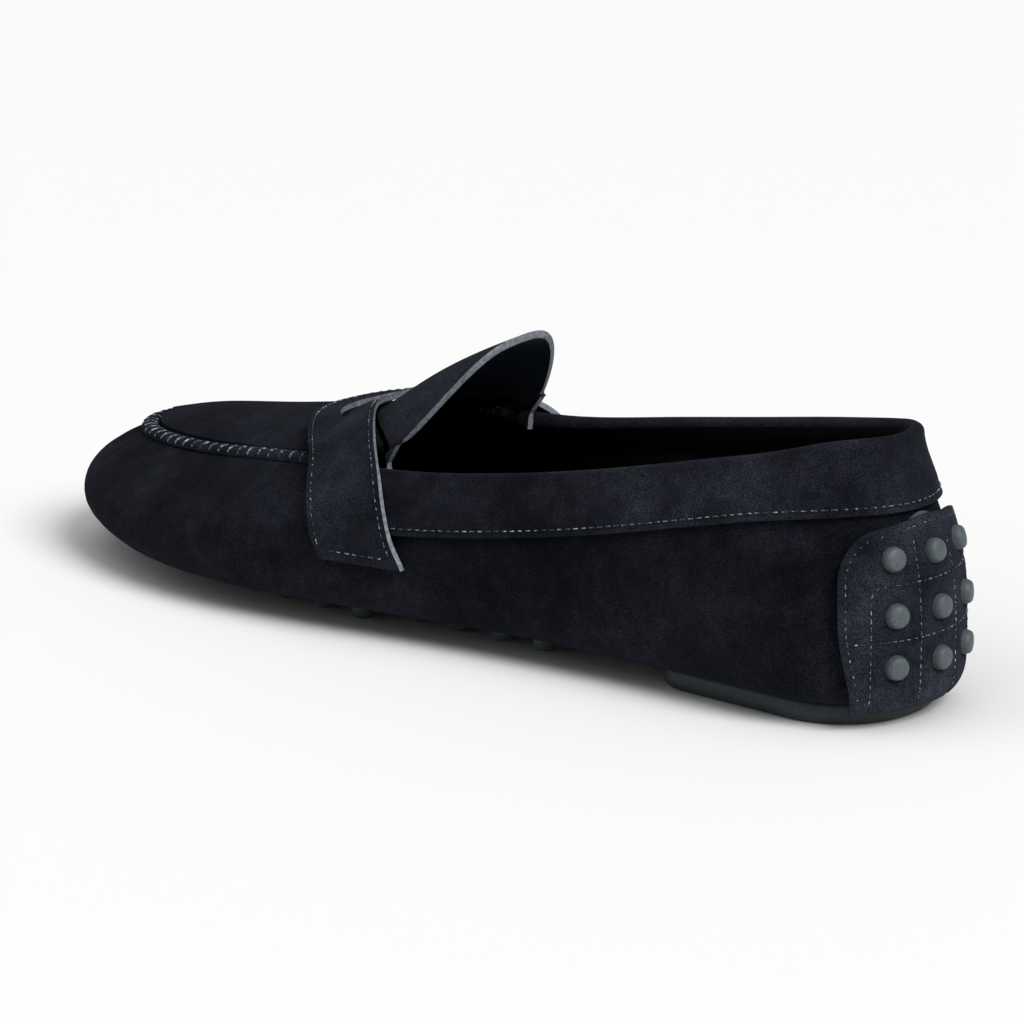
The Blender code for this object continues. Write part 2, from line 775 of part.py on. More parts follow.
def heel_overlay(name, reach, foot, top, near, far):
    """A piece round the back of the heel with rounded upper corners, shorter at its foot."""
    sections = []
    shares = np.concatenate([np.linspace(0, 0.6, 5)[:-1], 1 - 0.4 * np.cos(np.linspace(0, pi / 2, 6))])
    for share in np.concatenate([-shares[:0:-1], shares]):
        into = max(0.0, abs(share) * reach - (reach - PATCH_CORNER))
        high = top - PATCH_CORNER + sqrt(max(PATCH_CORNER ** 2 - into ** 2, 0.0))
        high += PATCH_TAB * ease(1 - abs(share) * 1.4)
        outer = []
        inner = []
        for i in range(6):
            height = foot + (high - foot) * (i / 5) ** 1.4
            taper = PATCH_TAPER * ease((PATCH_TOP * 0.6 - height) / (PATCH_TOP * 0.6)) * abs(share)
            section = Section(heel_place(share * reach - taper * np.sign(share)))
            outer.append(section.at_height(height, far))
            inner.append(section.at_height(height, near))
        sections.append(outer + inner[::-1])
    return loft(name, sections)


def make_heel_patch(suede, rubber, parts, cutters):
    """Suede patch round the heel, and the rubber sheet with nine studs that come through it."""
    near = OVERLAY_GAP
    far = near + SHEET_RUBBER
    mesh = heel_overlay("heel_stud_sheet", PATCH_REACH - SHEET_MARGIN, SHEET_FOOT, SHEET_TOP, near, far)
    sheet = add_object("heel_stud_sheet", mesh, rubber, parts)
    outer = far + GAP + PATCH_LEATHER
    mesh = heel_overlay("heel_patch", PATCH_REACH, PATCH_FOOT, PATCH_TOP, far + GAP, outer)
    patch = add_object("heel_patch", mesh, suede, parts)
    studs = []
    holes = []
    for place in heel_stud_places():
        profile = stud_profile((near + far) / 2, outer + HEEL_STUD_RISE, STUD_RADIUS)
        studs.append(turned(profile, HEEL_STUD_SIDES, place))
        hole = STUD_RADIUS + GAP
        holes.append(turned([(hole, -2), (hole, outer + 3)], HEEL_STUD_SIDES, place))
    cut(sheet, add_object("heel_studs", turned_bodies("heel_studs", studs), None, cutters), "UNION")
    cut(patch, add_object("heel_stud_holes", turned_bodies("heel_stud_holes", holes), None, cutters))


def clear_scene():
    for item in list(bpy.data.objects):
        bpy.data.objects.remove(item, do_unlink=True)


def centre_on_floor(objects):
    """Move every mesh so that the shoe stands centred over the origin."""
    bpy.context.view_layer.update()
    graph = bpy.context.evaluated_depsgraph_get()
    corners = []
    for item in objects:
        if not item.hide_render:
            shape = item.evaluated_get(graph)
            corners += [shape.matrix_world @ Vector(corner) for corner in shape.bound_box]
    low = Vector([min(corner[axis] for corner in corners) for axis in range(3)])
    high = Vector([max(corner[axis] for corner in corners) for axis in range(3)])
    shift = Vector((-(low.x + high.x) / 2, -(low.y + high.y) / 2, 0))
    for item in objects:
        item.data.transform(Matrix.Translation(shift))


def main():
    clear_scene()
    parts = bpy.data.collections.new(NAME)
    cutters = bpy.data.collections.new("cutters")
    bpy.context.scene.collection.children.link(parts)
    bpy.context.scene.collection.children.link(cutters)
    suede = material("navy_suede", (0.018, 0.019, 0.034), 0.95)
    trim = material("navy_suede_trim", (0.024, 0.025, 0.042), 0.95)
    rubber = material("grey_green_rubber", (0.085, 0.115, 0.12), 0.5)
    leather = material("navy_lining_leather", (0.012, 0.014, 0.03), 0.6)
    make_upper(suede, parts, cutters)
    make_sole(rubber, parts, cutters)
    make_insole(leather, parts)
    make_tongue(trim, parts)
    make_heel_plate(rubber, parts)
    make_collar(trim, parts)
    make_apron(suede, parts)
    make_seam(trim, parts)
    make_strap(trim, parts, cutters)
    make_heel_patch(trim, rubber, parts, cutters)
    centre_on_floor(list(parts.objects) + list(cutters.objects))


main()
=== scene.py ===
"""Looks of the left driving moccasin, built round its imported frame.

The shoe's section functions give every piece its place, in millimetres, with the toe towards -Y and
the outer side towards +X. A piece's points are moved into the frame when its mesh is made.
"""
from functools import lru_cache
from math import cos, exp, pi, radians, sin, sqrt

import bmesh
import bpy
import numpy as np
from mathutils import Matrix, Vector


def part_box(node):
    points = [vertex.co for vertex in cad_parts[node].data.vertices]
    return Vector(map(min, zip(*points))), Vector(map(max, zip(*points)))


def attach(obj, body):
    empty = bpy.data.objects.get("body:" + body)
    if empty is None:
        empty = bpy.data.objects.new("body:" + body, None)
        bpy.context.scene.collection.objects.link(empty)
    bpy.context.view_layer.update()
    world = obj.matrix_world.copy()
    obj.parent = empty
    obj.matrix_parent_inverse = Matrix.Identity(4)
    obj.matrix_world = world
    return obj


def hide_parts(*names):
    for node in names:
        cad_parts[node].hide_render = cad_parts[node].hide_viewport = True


MM = 0.001
SAME_PLACE = 0.000002     # metres between points that are joined

# The photograph's view: camera place in the frame, and what it looks at
CAMERA_PLACE = (684.9, 603.3, 267.8)
CAMERA_AIM = (2.0, 9.0, 29.0)
CAMERA_LENS = 127.0

# Sizes shared with the solids
OVERLAY_GAP = 0.6
LENGTH = 283.0
BALL_WIDTH = 97.0
HEEL_HEIGHT = 64.8
INSTEP_HEIGHT = 52.8
WALL = 1.8
BOTTOM_LIFT = 6.0
ARCH_LIFT = 2.6
ARCH_CENTRE = 112.0
ARCH_REACH = 46.0
ARCH_HALF = 30.0
SPRING_START = 224.0
TOE_SPRING = 6.5
STATION_COLUMNS = ("along", "across", "rim", "lean", "widest", "tuck", "curl", "swell")
STATIONS = (
    # back of the heel, then the outer side forward
    (0.000, 0.000, 1.022, 10.3, 10.5, 2.6, 1.60, 1.0),
    (0.021, 0.392, 1.028, 10.0, 11.0, 3.4, 1.60, 1.0),
    (0.067, 0.606, 1.006, 10.0, 14.5, 6.0, 1.60, 0.9),
    (0.148, 0.658, 0.929, 9.0, 17.0, 8.0, 1.70, 0.7),
    (0.254, 0.685, 0.822, 6.6, 17.5, 8.5, 1.70, 0.5),
    (0.367, 0.742, 0.727, 5.6, 16.5, 9.0, 1.70, 0.3),
    (0.488, 0.856, 0.660, 8.0, 15.5, 9.5, 1.90, 0.1),
    (0.622, 0.990, 0.618, 16.0, 15.0, 9.5, 2.10, 0.0),
    (0.749, 0.994, 0.560, 20.0, 14.5, 9.5, 2.20, 0.0),
    (0.862, 0.821, 0.520, 19.0, 15.0, 10.0, 2.20, 0.0),
    (0.954, 0.495, 0.500, 17.0, 16.5, 11.0, 2.20, 0.0),
    # tip of the toe, then the inner side back
    (1.000, -0.062, 0.492, 16.0, 18.0, 12.0, 2.20, 0.0),
    (0.954, -0.600, 0.508, 17.0, 17.0, 11.5, 2.20, 0.0),
    (0.859, -0.876, 0.541, 19.0, 15.5, 10.5, 2.20, 0.0),
    (0.735, -1.000, 0.600, 20.0, 15.0, 10.0, 2.20, 0.0),
    (0.608, -0.928, 0.680, 16.0, 16.5, 10.5, 2.10, 0.0),
    (0.488, -0.779, 0.708, 8.0, 18.5, 11.0, 1.90, 0.1),
    (0.367, -0.685, 0.788, 4.6, 20.0, 11.0, 1.70, 0.3),
    (0.254, -0.656, 0.870, 5.0, 19.0, 9.5, 1.70, 0.5),
    (0.148, -0.649, 0.951, 8.0, 17.0, 8.0, 1.70, 0.7),
    (0.067, -0.598, 1.001, 10.0, 14.5, 6.0, 1.60, 0.9),
    (0.021, -0.388, 1.020, 10.0, 11.0, 3.4, 1.60, 1.0),
)
TOE_STATION = 11
CREST = (
    (0.440, 1.458),
    (0.541, 1.190),
    (0.600, 1.000),
    (0.640, 0.922),
    (0.707, 0.862),
    (0.795, 0.800),
    (0.883, 0.727),
    (0.961, 0.629),
)
CROWN_POWER = 2.2
TIP_POWER = 3.2
SWELL_POWER = 1.8
COLLAR_DEPTH = 14.0
COLLAR_HEEL_DROP = 1.6
COLLAR_INSIDE = 7.0
COLLAR_LEATHER = 1.3
COLLAR_END = 154.0
STRAP_BACK = 170.0
STRAP_WIDTH = 25.0
STRAP_SWEEP = 25.0
STRAP_WING_SWEEP = 11.0
STRAP_FOOT = 21.0
STRAP_LEATHER = 1.5
SLOT_SHARE = 0.62
SLOT_WIDTH = 8.0
APRON_BACK = 175.4
APRON_LEATHER = 1.8
APRON_BLUNT = 22.0
SEAM_WIDTH = 4.6
SEAM_HEIGHT = 2.4
TONGUE_TIP = 128.0
TONGUE_FRONT = 172.8
TONGUE_LEATHER = 2.0
TONGUE_SIDE_GAP = 4.4
TONGUE_TIP_DEPTH = 15.0
PATCH_REACH = 27.0
PATCH_TOP = 47.6
PATCH_TAB = 1.5
PATCH_TAPER = 4.2
PATCH_CORNER = 11.0
PATCH_FOOT = 6.6
PATCH_LEATHER = 1.2
SHEET_RUBBER = 0.8
SHEET_MARGIN = 3.0
SHEET_FOOT = 12.2
HEEL_STUD_ROWS = (16.0, 28.3, 41.0)
HEEL_STUD_TURN = 13.4
HEEL_STUD_RISE = 2.1
STUD_RADIUS = 3.15
PLATE_BACK = 3.6
PLATE_FRONT = 66.5
PLATE_HALF_WIDTH = 23.5
PLATE_BACK_RADIUS = 22.0
PLATE_FRONT_RADIUS = 8.0
PLATE_EDGE = 2.4
STUD_PITCH_ALONG = 14.0
STUD_PITCH_ACROSS = 16.0
STUD_FIRST_ROW = 77.0
STUD_ROWS = 12
STUD_MARGIN = 8.0
SOLE_RUBBER = 1.4
INSOLE_THICKNESS = 2.6
GAP = 0.3

# Sizes that only the looks have, or that the solids have otherwise
SHEET_OUT = OVERLAY_GAP + SHEET_RUBBER
PATCH_OUT = SHEET_OUT + GAP + PATCH_LEATHER
SHEET_TOP = 46.6
SHEET_TAB = (3.4, 1.9)    # rise of the sheet's top in its middle, and how fast it falls off
PATCH_TAB_SPREAD = 1.4
SEAM_BACK = 157.0         # where the seam ends, hidden under the strap
FOLD_THINNING = 0.7       # the collar is pressed thinner at its fold
COLLAR_PUFF = 0.35
COLLAR_PINCH = 0.42       # depth of the hollow along its stitches
LEAF_STEPS = 12           # points over the collar's outer leaf, and round its fold
FOLD_STEPS = 8
TONGUE_TUCK = 0.25        # share of half its width by which the tongue is tucked in at each side
TONGUE_TUCK_DEPTH = 8.0
TONGUE_TUCK_IN = 1.2
TONGUE_CORNER = 7.0       # how much further forward its tucked corners end
TONGUE_TIP_CURL = 3.4
SLOT_CUT_HEIGHTS = (36.0, 80.0)

# Sewing
STITCH_PITCH = 2.4
STITCH_LENGTH = 1.6
STITCH_SHAPE = ((0.0, -0.35), (0.14, 0.05), (0.5, 0.16), (0.86, 0.05), (1.0, -0.35))  # along, out
PATCH_PITCH = 2.0
PATCH_STITCH = 1.3
PATCH_SUNK = 0.22         # depth of its stitches below the suede between them
THREAD = 0.17             # radius
SEAM_THREAD = 0.30
EDGE_MARGIN = 1.6         # from a raw edge to its row of stitches
GRID_ROWS = (22.3, 35.2)  # heights of the quilting lines on the heel patch
GRID_TURNS = (6.7, -6.7)
FRAME_TURN = 19.6         # outer uprights of the quilting, which join its upper line
FRAME_RADIUS = 3.0
QUILT_DEPTH = 0.30
QUILT_WIDTH = 0.8
RING_DEPTH = 0.35         # hollow round each stud of the patch
RING_WIDTH = 0.7
GATHER_PITCH = 4.4        # along the apron seam
GATHER_DEPTH = 0.55
GATHER_START = 196.0
GATHER_FADE = 40.0

# Lights: name, direction that points at it, width in degrees and strength
LIGHTS = (
    ("back_right_light", (0.10, 0.85, 0.78), 34, 2.45),
    ("top_light", (0.15, 0.05, 1.0), 70, 0.75),
    ("toe_fill", (0.75, -0.80, 0.45), 60, 0.55),
)
SURROUNDINGS = 0.27
VIEW_GAMMA = 0.85

# Soft hollows and swells of the wall: side, along, height, half length, half height, tilt, depth
DENTS = (
    (1, 42.0, 30.0, 16.0, 12.0, 0.10, 0.45),
    (1, 78.0, 24.0, 22.0, 7.0, 0.06, -0.55),
    (1, 104.0, 27.0, 20.0, 9.0, -0.10, 0.40),
    (1, 131.0, 20.0, 14.0, 5.0, 0.25, -0.60),
    (1, 176.0, 18.0, 9.0, 6.0, 0.50, -0.45),
    (1, 192.0, 20.0, 10.0, 7.0, 0.45, 0.40),
    (1, 204.0, 22.0, 8.0, 5.0, 0.40, -0.40),
    (-1, 60.0, 28.0, 20.0, 9.0, -0.08, -0.50),
    (-1, 95.0, 26.0, 18.0, 8.0, 0.12, 0.45),
    (-1, 128.0, 24.0, 15.0, 6.0, -0.20, -0.60),
    (-1, 188.0, 20.0, 10.0, 7.0, -0.45, -0.45),
    (-1, 203.0, 21.0, 9.0, 6.0, -0.40, 0.35),
)


def cubic(knots, values, wanted):
    """Natural cubic spline through the values, read at the wanted places."""
    knots = np.asarray(knots, float)
    values = np.asarray(values, float)
    count = len(knots)
    steps = np.diff(knots)
    slopes = np.diff(values) / steps
    system = np.eye(count)
    right = np.zeros(count)
    for i in range(1, count - 1):
        system[i, i - 1] = steps[i - 1]
        system[i, i] = 2 * (steps[i - 1] + steps[i])
        system[i, i + 1] = steps[i]
        right[i] = 6 * (slopes[i] - slopes[i - 1])
    bend = np.linalg.solve(system, right)
    wanted = np.asarray(wanted, float)
    cell = np.clip(np.searchsorted(knots, wanted) - 1, 0, count - 2)
    step = steps[cell]
    left = (knots[cell + 1] - wanted) / step
    rest = 1 - left
    curve = (left ** 3 - left) * bend[cell] + (rest ** 3 - rest) * bend[cell + 1]
    return left * values[cell] + rest * values[cell + 1] + curve * step ** 2 / 6


def run_along(points):
    """Distance from the first point of a path to each of its points."""
    steps = np.diff(np.array([tuple(point) for point in points]), axis=0)
    return np.concatenate([[0], np.cumsum(np.linalg.norm(steps, axis=1))])


def fine_table():
    """Every station column as a smooth curve, read at many places round the shoe."""
    table = {name: np.array([row[i] for row in STATIONS]) for i, name in enumerate(STATION_COLUMNS)}
    table["along"] = table["along"] * LENGTH
    table["across"] = table["across"] * BALL_WIDTH / 2
    table["rim"] = table["rim"] * HEEL_HEIGHT
    outline = list(zip(table["along"], table["across"]))
    run = run_along(outline + outline[:1])
    toe = run[TOE_STATION]
    places = np.where(run < toe, run / toe / 2, 0.5 + (run - toe) / (run[-1] - toe) / 2)[:-1]
    rounds = np.concatenate([places - 1, places, places + 1])
    return {name: cubic(rounds, np.tile(values, 3), FINE_PLACES) for name, values in table.items()}


FINE_PLACES = np.linspace(0, 1, 2001)
TABLE = fine_table()
CREST_PLACES = np.linspace(CREST[0][0], 1.0, 300) * LENGTH
CREST_HEIGHTS = cubic([row[0] * LENGTH for row in CREST], [row[1] * INSTEP_HEIGHT for row in CREST],
                      CREST_PLACES)


def read(name, place):
    """A station column at any place round the shoe."""
    return float(np.interp(place % 1.0, FINE_PLACES, TABLE[name]))


def crest_height(along):
    return float(np.interp(along, CREST_PLACES, CREST_HEIGHTS))


def ease(share):
    share = min(max(share, 0.0), 1.0)
    return share * share * (3 - 2 * share)


def bottom_height(along, across):
    """Height of the suede bottom: level, lifted under the arch and at the toe."""
    spring = max(0.0, (along - SPRING_START) / (LENGTH - SPRING_START))
    reach = ease(1 - abs(along - ARCH_CENTRE) / ARCH_REACH)
    inner = min(max((ARCH_HALF - across) / (2 * ARCH_HALF), 0.0), 1.0)
    return BOTTOM_LIFT + TOE_SPRING * spring ** 1.8 + ARCH_LIFT * reach * inner


class Section:
    """The wall's section at one place round the shoe."""

    def __init__(self, place):
        self.place = place
        for name in STATION_COLUMNS:
            setattr(self, name, read(name, place))
        ahead = 0.0015
        more_along = read("along", place + ahead) - read("along", place - ahead)
        more_across = read("across", place + ahead) - read("across", place - ahead)
        size = sqrt(more_along ** 2 + more_across ** 2)
        self.inward = (more_across / size, -more_along / size)
        under = (self.along + self.inward[0] * self.tuck, self.across + self.inward[1] * self.tuck)
        self.bottom = bottom_height(*under)

    def point(self, level, out=0.0):
        """A point of the wall's outer face, from level -1 at the bottom to 1 at the rim."""
        if level < 0:
            turn = (1 + level) * pi / 2
            height = self.widest - self.bottom
            inset = self.tuck * (1 - sin(turn))
            z = self.bottom + height * (1 - cos(turn))
            normal = (height * sin(turn), -self.tuck * cos(turn))
        else:
            height = self.rim - self.widest
            inset = self.lean * self.leaning(level)
            z = self.widest + height * level
            slope = (self.leaning(level + 0.001) - self.leaning(level)) / 0.001
            normal = (height, self.lean * slope)
        size = sqrt(normal[0] ** 2 + normal[1] ** 2)
        inset -= out * normal[0] / size
        z += out * normal[1] / size
        along = self.along + self.inward[0] * inset
        across = self.across + self.inward[1] * inset
        return Vector((across, -along, z))

    def leaning(self, level):
        """Share of the lean that is reached at a level above the widest line."""
        upright = (1 - cos(pi * min(level, 1.0) ** SWELL_POWER)) / 2
        return (1 - self.swell) * level ** self.curl + self.swell * upright

    def level_at(self, z):
        """The level at a height of the outer face."""
        if z >= self.widest:
            return min((z - self.widest) / (self.rim - self.widest), 1.0)
        rise = max(z - self.bottom, 0.0) / (self.widest - self.bottom)
        return float(np.arccos(1 - rise)) / (pi / 2) - 1

    def at_height(self, z, out=0.0):
        return self.point(self.level_at(z), out)


FINE_SIDES = {True: np.linspace(0.02, 0.5, 300), False: np.linspace(0.98, 0.5, 300)}


@lru_cache(maxsize=None)
def rim_line(outer_side, inset):
    """The rim's line on one side, moved inwards by the inset: along, across and height."""
    rows = []
    for place in FINE_SIDES[outer_side]:
        section = Section(place)
        point = section.point(1.0)
        rows.append((-point.y + section.inward[0] * inset, point.x + section.inward[1] * inset, point.z))
    return np.array(rows).T


def rim_section(along, outer_side):
    """The section whose rim lies that far along, on the outer or the inner side."""
    return Section(float(np.interp(along, rim_line(outer_side, 0.0)[0], FINE_SIDES[outer_side])))


def rim_point(along, outer_side, inset):
    line = rim_line(outer_side, inset)
    return Vector((np.interp(along, line[0], line[1]), -along, np.interp(along, line[0], line[2])))


def crown_point(along, share, inset, lift, power=CROWN_POWER):
    """A point of the crown from rim to rim. share runs from 1 on the outer side to -1."""
    outer = rim_point(along, True, inset)
    inner = rim_point(along, False, inset)
    full = rim_point(along, True, 0.0) - rim_point(along, False, 0.0)
    low = inner.lerp(outer, (share + 1) / 2)
    rise = max(crest_height(along) - (outer.z + inner.z) / 2, 0.5)
    low.z += rise * (1 - min(abs(share * (outer.x - inner.x) / full.x), 1.0) ** power) + lift
    return low


def swept(along, share):
    """Distance along of a line that sweeps back from the centre towards the rims."""
    return along - STRAP_SWEEP * abs(share) ** 1.7


# Run of the rim round the shoe, for whatever repeats along it
RIM_RUN = run_along([Section(place).point(1.0) for place in FINE_PLACES])


def gather_wave(place):
    """Rises and falls between -1 and 1 with the gathers of the apron seam."""
    return cos(2 * pi * float(np.interp(place % 1.0, FINE_PLACES, RIM_RUN)) / GATHER_PITCH)


# Meshes


def frame_shift():
    """From the shoe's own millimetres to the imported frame, read from the heel piece."""
    low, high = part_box("heel_plate")
    return Vector(((low[0] + high[0]) / 2, high[1] + PLATE_BACK * MM, 0))


def new_mesh(name, points, faces, slots, materials):
    """A mesh from points in millimetres. slots gives each face its material."""
    mesh = bpy.data.meshes.new(name)
    mesh.from_pydata([point * MM + SHIFT for point in points], [], faces)
    for item in materials:
        mesh.materials.append(item)
    mesh.polygons.foreach_set("material_index", slots)
    work = bmesh.new()
    work.from_mesh(mesh)
    bmesh.ops.remove_doubles(work, verts=work.verts, dist=SAME_PLACE)
    bmesh.ops.recalc_face_normals(work, faces=work.faces)
    work.to_mesh(mesh)
    work.free()
    return mesh


def add_object(name, data):
    item = bpy.data.objects.new(name, data)
    bpy.context.scene.collection.objects.link(item)
    return item


def place_mesh(name, points, faces, slots, materials, sharp=55):
    """A piece with smooth faces, apart from edges sharper than the angle."""
    mesh = new_mesh(name, points, faces, slots, materials)
    mesh.shade_smooth()
    mesh.set_sharp_from_angle(angle=radians(sharp))
    item = add_object(name, mesh)
    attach(item, "root")
    return item


def shell(name, outer, inner, materials, round_edge=0.0):
    """A sheet of leather between two grids of points: outer face, cut edges and inner face."""
    rows = len(outer)
    columns = len(outer[0])
    points = [point for row in outer for point in row] + [point for row in inner for point in row]
    base = rows * columns
    faces = []
    slots = []
    for i in range(rows - 1):
        for j in range(columns - 1):
            a = i * columns + j
            faces.append((a, a + 1, a + columns + 1, a + columns))
            slots.append(0)
            faces.append((base + a, base + a + columns, base + a + columns + 1, base + a + 1))
            slots.append(2)
    border = list(range(columns))
    border += [i * columns + columns - 1 for i in range(1, rows)]
    border += [(rows - 1) * columns + j for j in range(columns - 2, -1, -1)]
    border += [i * columns for i in range(rows - 2, 0, -1)]
    # The cut edge stands out a little, and unevenly, half way through the leather
    middles = []
    centre = sum(points, Vector()) / len(points)
    for k, a in enumerate(border):
        middle = (points[a] + points[base + a]) / 2
        fray = round_edge * (1 + 0.8 * sin(k * 2.39) * sin(k * 0.71 + 1))
        middles.append(middle + (middle - centre).normalized() * fray)
    first = len(points)
    points += middles
    for k, a in enumerate(border):
        b = border[(k + 1) % len(border)]
        m = first + k
        n = first + (k + 1) % len(border)
        faces.append((a, m, n, b))
        faces.append((m, base + a, base + b, n))
        slots += [1, 1]
    return place_mesh(name, points, faces, slots, materials)


def tube(rows, count, base=0):
    """Faces between neighbouring rings of points, the first of which begins at point base."""
    faces = []
    for row in range(rows - 1):
        a = base + row * count
        for i in range(count):
            j = (i + 1) % count
            faces.append((a + i, a + j, a + count + j, a + count + i))
    return faces


def rod(rows, count, base=0):
    """Faces of a tube and of its two ends."""
    last = base + (rows - 1) * count
    return tube(rows, count, base) + [tuple(range(base, base + count)), tuple(range(last, last + count))]


def loft(name, sections, slot_of, materials, sharp=55):
    """A closed body through closed sections. slot_of gives the material along a section."""
    count = len(sections[0])
    points = [point for section in sections for point in section]
    faces = rod(len(sections), count)
    slots = [slot_of(i % count) for i in range(len(faces) - 2)] + [slot_of(0)] * 2
    return place_mesh(name, points, faces, slots, materials, sharp)


def ladder(base, count):
    """Faces across a ring that starts at the heel and has its toe half way."""
    half = count // 2
    faces = [(base, base + 1, base + count - 1)]
    for i in range(1, half - 1):
        faces.append((base + i, base + i + 1, base + count - i - 1, base + count - i))
    faces.append((base + half - 1, base + half, base + half + 1))
    return faces


def rings_body(name, rings, slot_of, materials):
    """A closed body through rings round the shoe, closed across its first and last ring."""
    count = len(rings[0])
    points = [point for ring in rings for point in ring]
    faces = tube(len(rings), count)
    slots = [slot_of(i // count) for i in range(len(faces))]
    for base, row in ((0, 0), (len(points) - count, len(rings) - 2)):
        across = ladder(base, count)
        faces += across
        slots += [slot_of(row)] * len(across)
    return place_mesh(name, points, faces, slots, materials)


def place_studs(name, studs, grey_rubber):
    """One piece of several studs, each a profile, a matrix and its number of sides."""
    points = []
    faces = []
    for profile, place, sides in studs:
        faces += rod(len(profile), sides, len(points))
        for radius, height in profile:
            for i in range(sides):
                angle = 2 * pi * i / sides
                points.append(place @ Vector((radius * cos(angle), radius * sin(angle), height)))
    return place_mesh(name, points, faces, [0] * len(faces), [grey_rubber])


def threads(name, strands, material, radius=THREAD):
    """Short lengths of thread, each through a few points, with pinched ends."""
    sides = 6
    pinch = 0.45
    points = []
    faces = []
    for strand in strands:
        faces += rod(len(strand), sides, len(points))
        last = len(strand) - 1
        for k, centre in enumerate(strand):
            run = (strand[min(k + 1, last)] - strand[max(k - 1, 0)]).normalized()
            side = run.orthogonal().normalized()
            other = run.cross(side)
            size = radius * (pinch if k in (0, last) else 1.0)
            for i in range(sides):
                angle = 2 * pi * i / sides
                points.append(centre + (side * cos(angle) + other * sin(angle)) * size)
    return place_mesh(name, points, faces, [0] * len(faces), [material], 80)


def running_stitch(surface, line, out, pitch=STITCH_PITCH, length=STITCH_LENGTH):
    """Stitches along a line of places on a surface, whose points are surface(place, out)."""
    path = [surface(place, out) for place in line]
    outward = [surface(place, out + 1) - point for place, point in zip(line, path)]
    run = run_along(path)
    count = int(run[-1] // pitch)
    spare = (run[-1] - count * pitch) / 2

    def at(distance):
        cell = min(max(int(np.searchsorted(run, distance)) - 1, 0), len(path) - 2)
        share = (distance - run[cell]) / (run[cell + 1] - run[cell])
        normal = outward[cell].lerp(outward[cell + 1], share).normalized()
        return path[cell].lerp(path[cell + 1], share), normal

    strands = []
    for i in range(count):
        start = spare + i * pitch + (pitch - length) / 2
        strand = []
        for share, lift in STITCH_SHAPE:
            point, normal = at(start + share * length)
            strand.append(point + normal * lift)
        strands.append(strand)
    return strands


# Materials


def nodes_of(name, roughness, specular=0.5):
    material = bpy.data.materials.new(name)
    material.use_nodes = True
    tree = material.node_tree
    shader = tree.nodes["Principled BSDF"]
    shader.inputs["Roughness"].default_value = roughness
    shader.inputs["Specular IOR Level"].default_value = specular
    place = tree.nodes.new("ShaderNodeTexCoord")
    return material, tree, shader, place.outputs["Object"]


def noise(tree, place, scale, detail=3.0, roughness=0.55):
    node = tree.nodes.new("ShaderNodeTexNoise")
    node.inputs["Scale"].default_value = scale
    node.inputs["Detail"].default_value = detail
    node.inputs["Roughness"].default_value = roughness
    tree.links.new(place, node.inputs["Vector"])
    return node.outputs["Fac"]


def ramp(tree, value, stops):
    """Colour ramp through stops of place and colour."""
    node = tree.nodes.new("ShaderNodeValToRGB")
    band = node.color_ramp
    while len(band.elements) < len(stops):
        band.elements.new(0.5)
    for element, (place, colour) in zip(band.elements, stops):
        element.position = place
        element.color = (*colour, 1)
    tree.links.new(value, node.inputs["Fac"])
    return node.outputs["Color"]


def multiply(tree, first, second):
    """Product of two colours, through the colour sockets of a mix node."""
    node = tree.nodes.new("ShaderNodeMix")
    node.data_type = "RGBA"
    node.blend_type = "MULTIPLY"
    node.inputs[0].default_value = 1.0
    tree.links.new(first, node.inputs[6])
    tree.links.new(second, node.inputs[7])
    return node.outputs[2]


def bump(tree, height, distance, strength, below=None):
    node = tree.nodes.new("ShaderNodeBump")
    node.inputs["Distance"].default_value = distance * MM
    node.inputs["Strength"].default_value = strength
    tree.links.new(height, node.inputs["Height"])
    if below is not None:
        tree.links.new(below, node.inputs["Normal"])
    return node.outputs["Normal"]


def dress(tree, shader, colour, relief):
    """Give a shader its colour and its relief."""
    tree.links.new(colour, shader.inputs["Base Color"])
    tree.links.new(relief, shader.inputs["Normal"])


def suede(name, dark, light, sheen=0.03):
    """Napped leather: brushed patches that catch the light, mottling and a fine standing nap."""
    material, tree, shader, place = nodes_of(name, 0.95, 0.05)
    mottle_stops = [(0.30, (0.55, 0.55, 0.60)), (0.72, (1.0, 0.98, 0.98))]
    nap_stops = [(0.38, (0.06, 0.065, 0.08)), (0.64, (1.0, 0.99, 0.98))]
    brushed = ramp(tree, noise(tree, place, 42, 4, 0.6), [(0.34, dark), (0.68, light)])
    mottle = ramp(tree, noise(tree, place, 260, 4, 0.65), mottle_stops)
    fibres = noise(tree, place, 3100, 3, 0.8)
    colour = multiply(tree, multiply(tree, brushed, mottle), ramp(tree, fibres, nap_stops))
    pile = bump(tree, fibres, 0.4, 0.7)
    dress(tree, shader, colour, bump(tree, noise(tree, place, 420, 3, 0.6), 0.35, 0.35, pile))
    shader.inputs["Sheen Weight"].default_value = sheen
    shader.inputs["Sheen Roughness"].default_value = 0.55
    shader.inputs["Sheen Tint"].default_value = (0.70, 0.80, 1.0, 1)
    return material


def raw_edge(name, dark, light):
    """Cut edge of suede, with short fibres."""
    material, tree, shader, place = nodes_of(name, 0.95, 0.1)
    colour = ramp(tree, noise(tree, place, 900, 4, 0.7), [(0.3, dark), (0.7, light)])
    dress(tree, shader, colour, bump(tree, noise(tree, place, 1600, 3, 0.7), 0.4, 0.6))
    return material


def smooth_leather(name, dark, light, roughness):
    """Lining leather: fine grain with a soft gloss."""
    material, tree, shader, place = nodes_of(name, roughness, 0.15)
    colour = ramp(tree, noise(tree, place, 60), [(0.35, dark), (0.7, light)])
    cells = tree.nodes.new("ShaderNodeTexVoronoi")
    cells.feature = "DISTANCE_TO_EDGE"
    cells.inputs["Scale"].default_value = 1100
    tree.links.new(place, cells.inputs["Vector"])
    dress(tree, shader, colour, bump(tree, cells.outputs["Distance"], 0.15, 0.35))
    return material


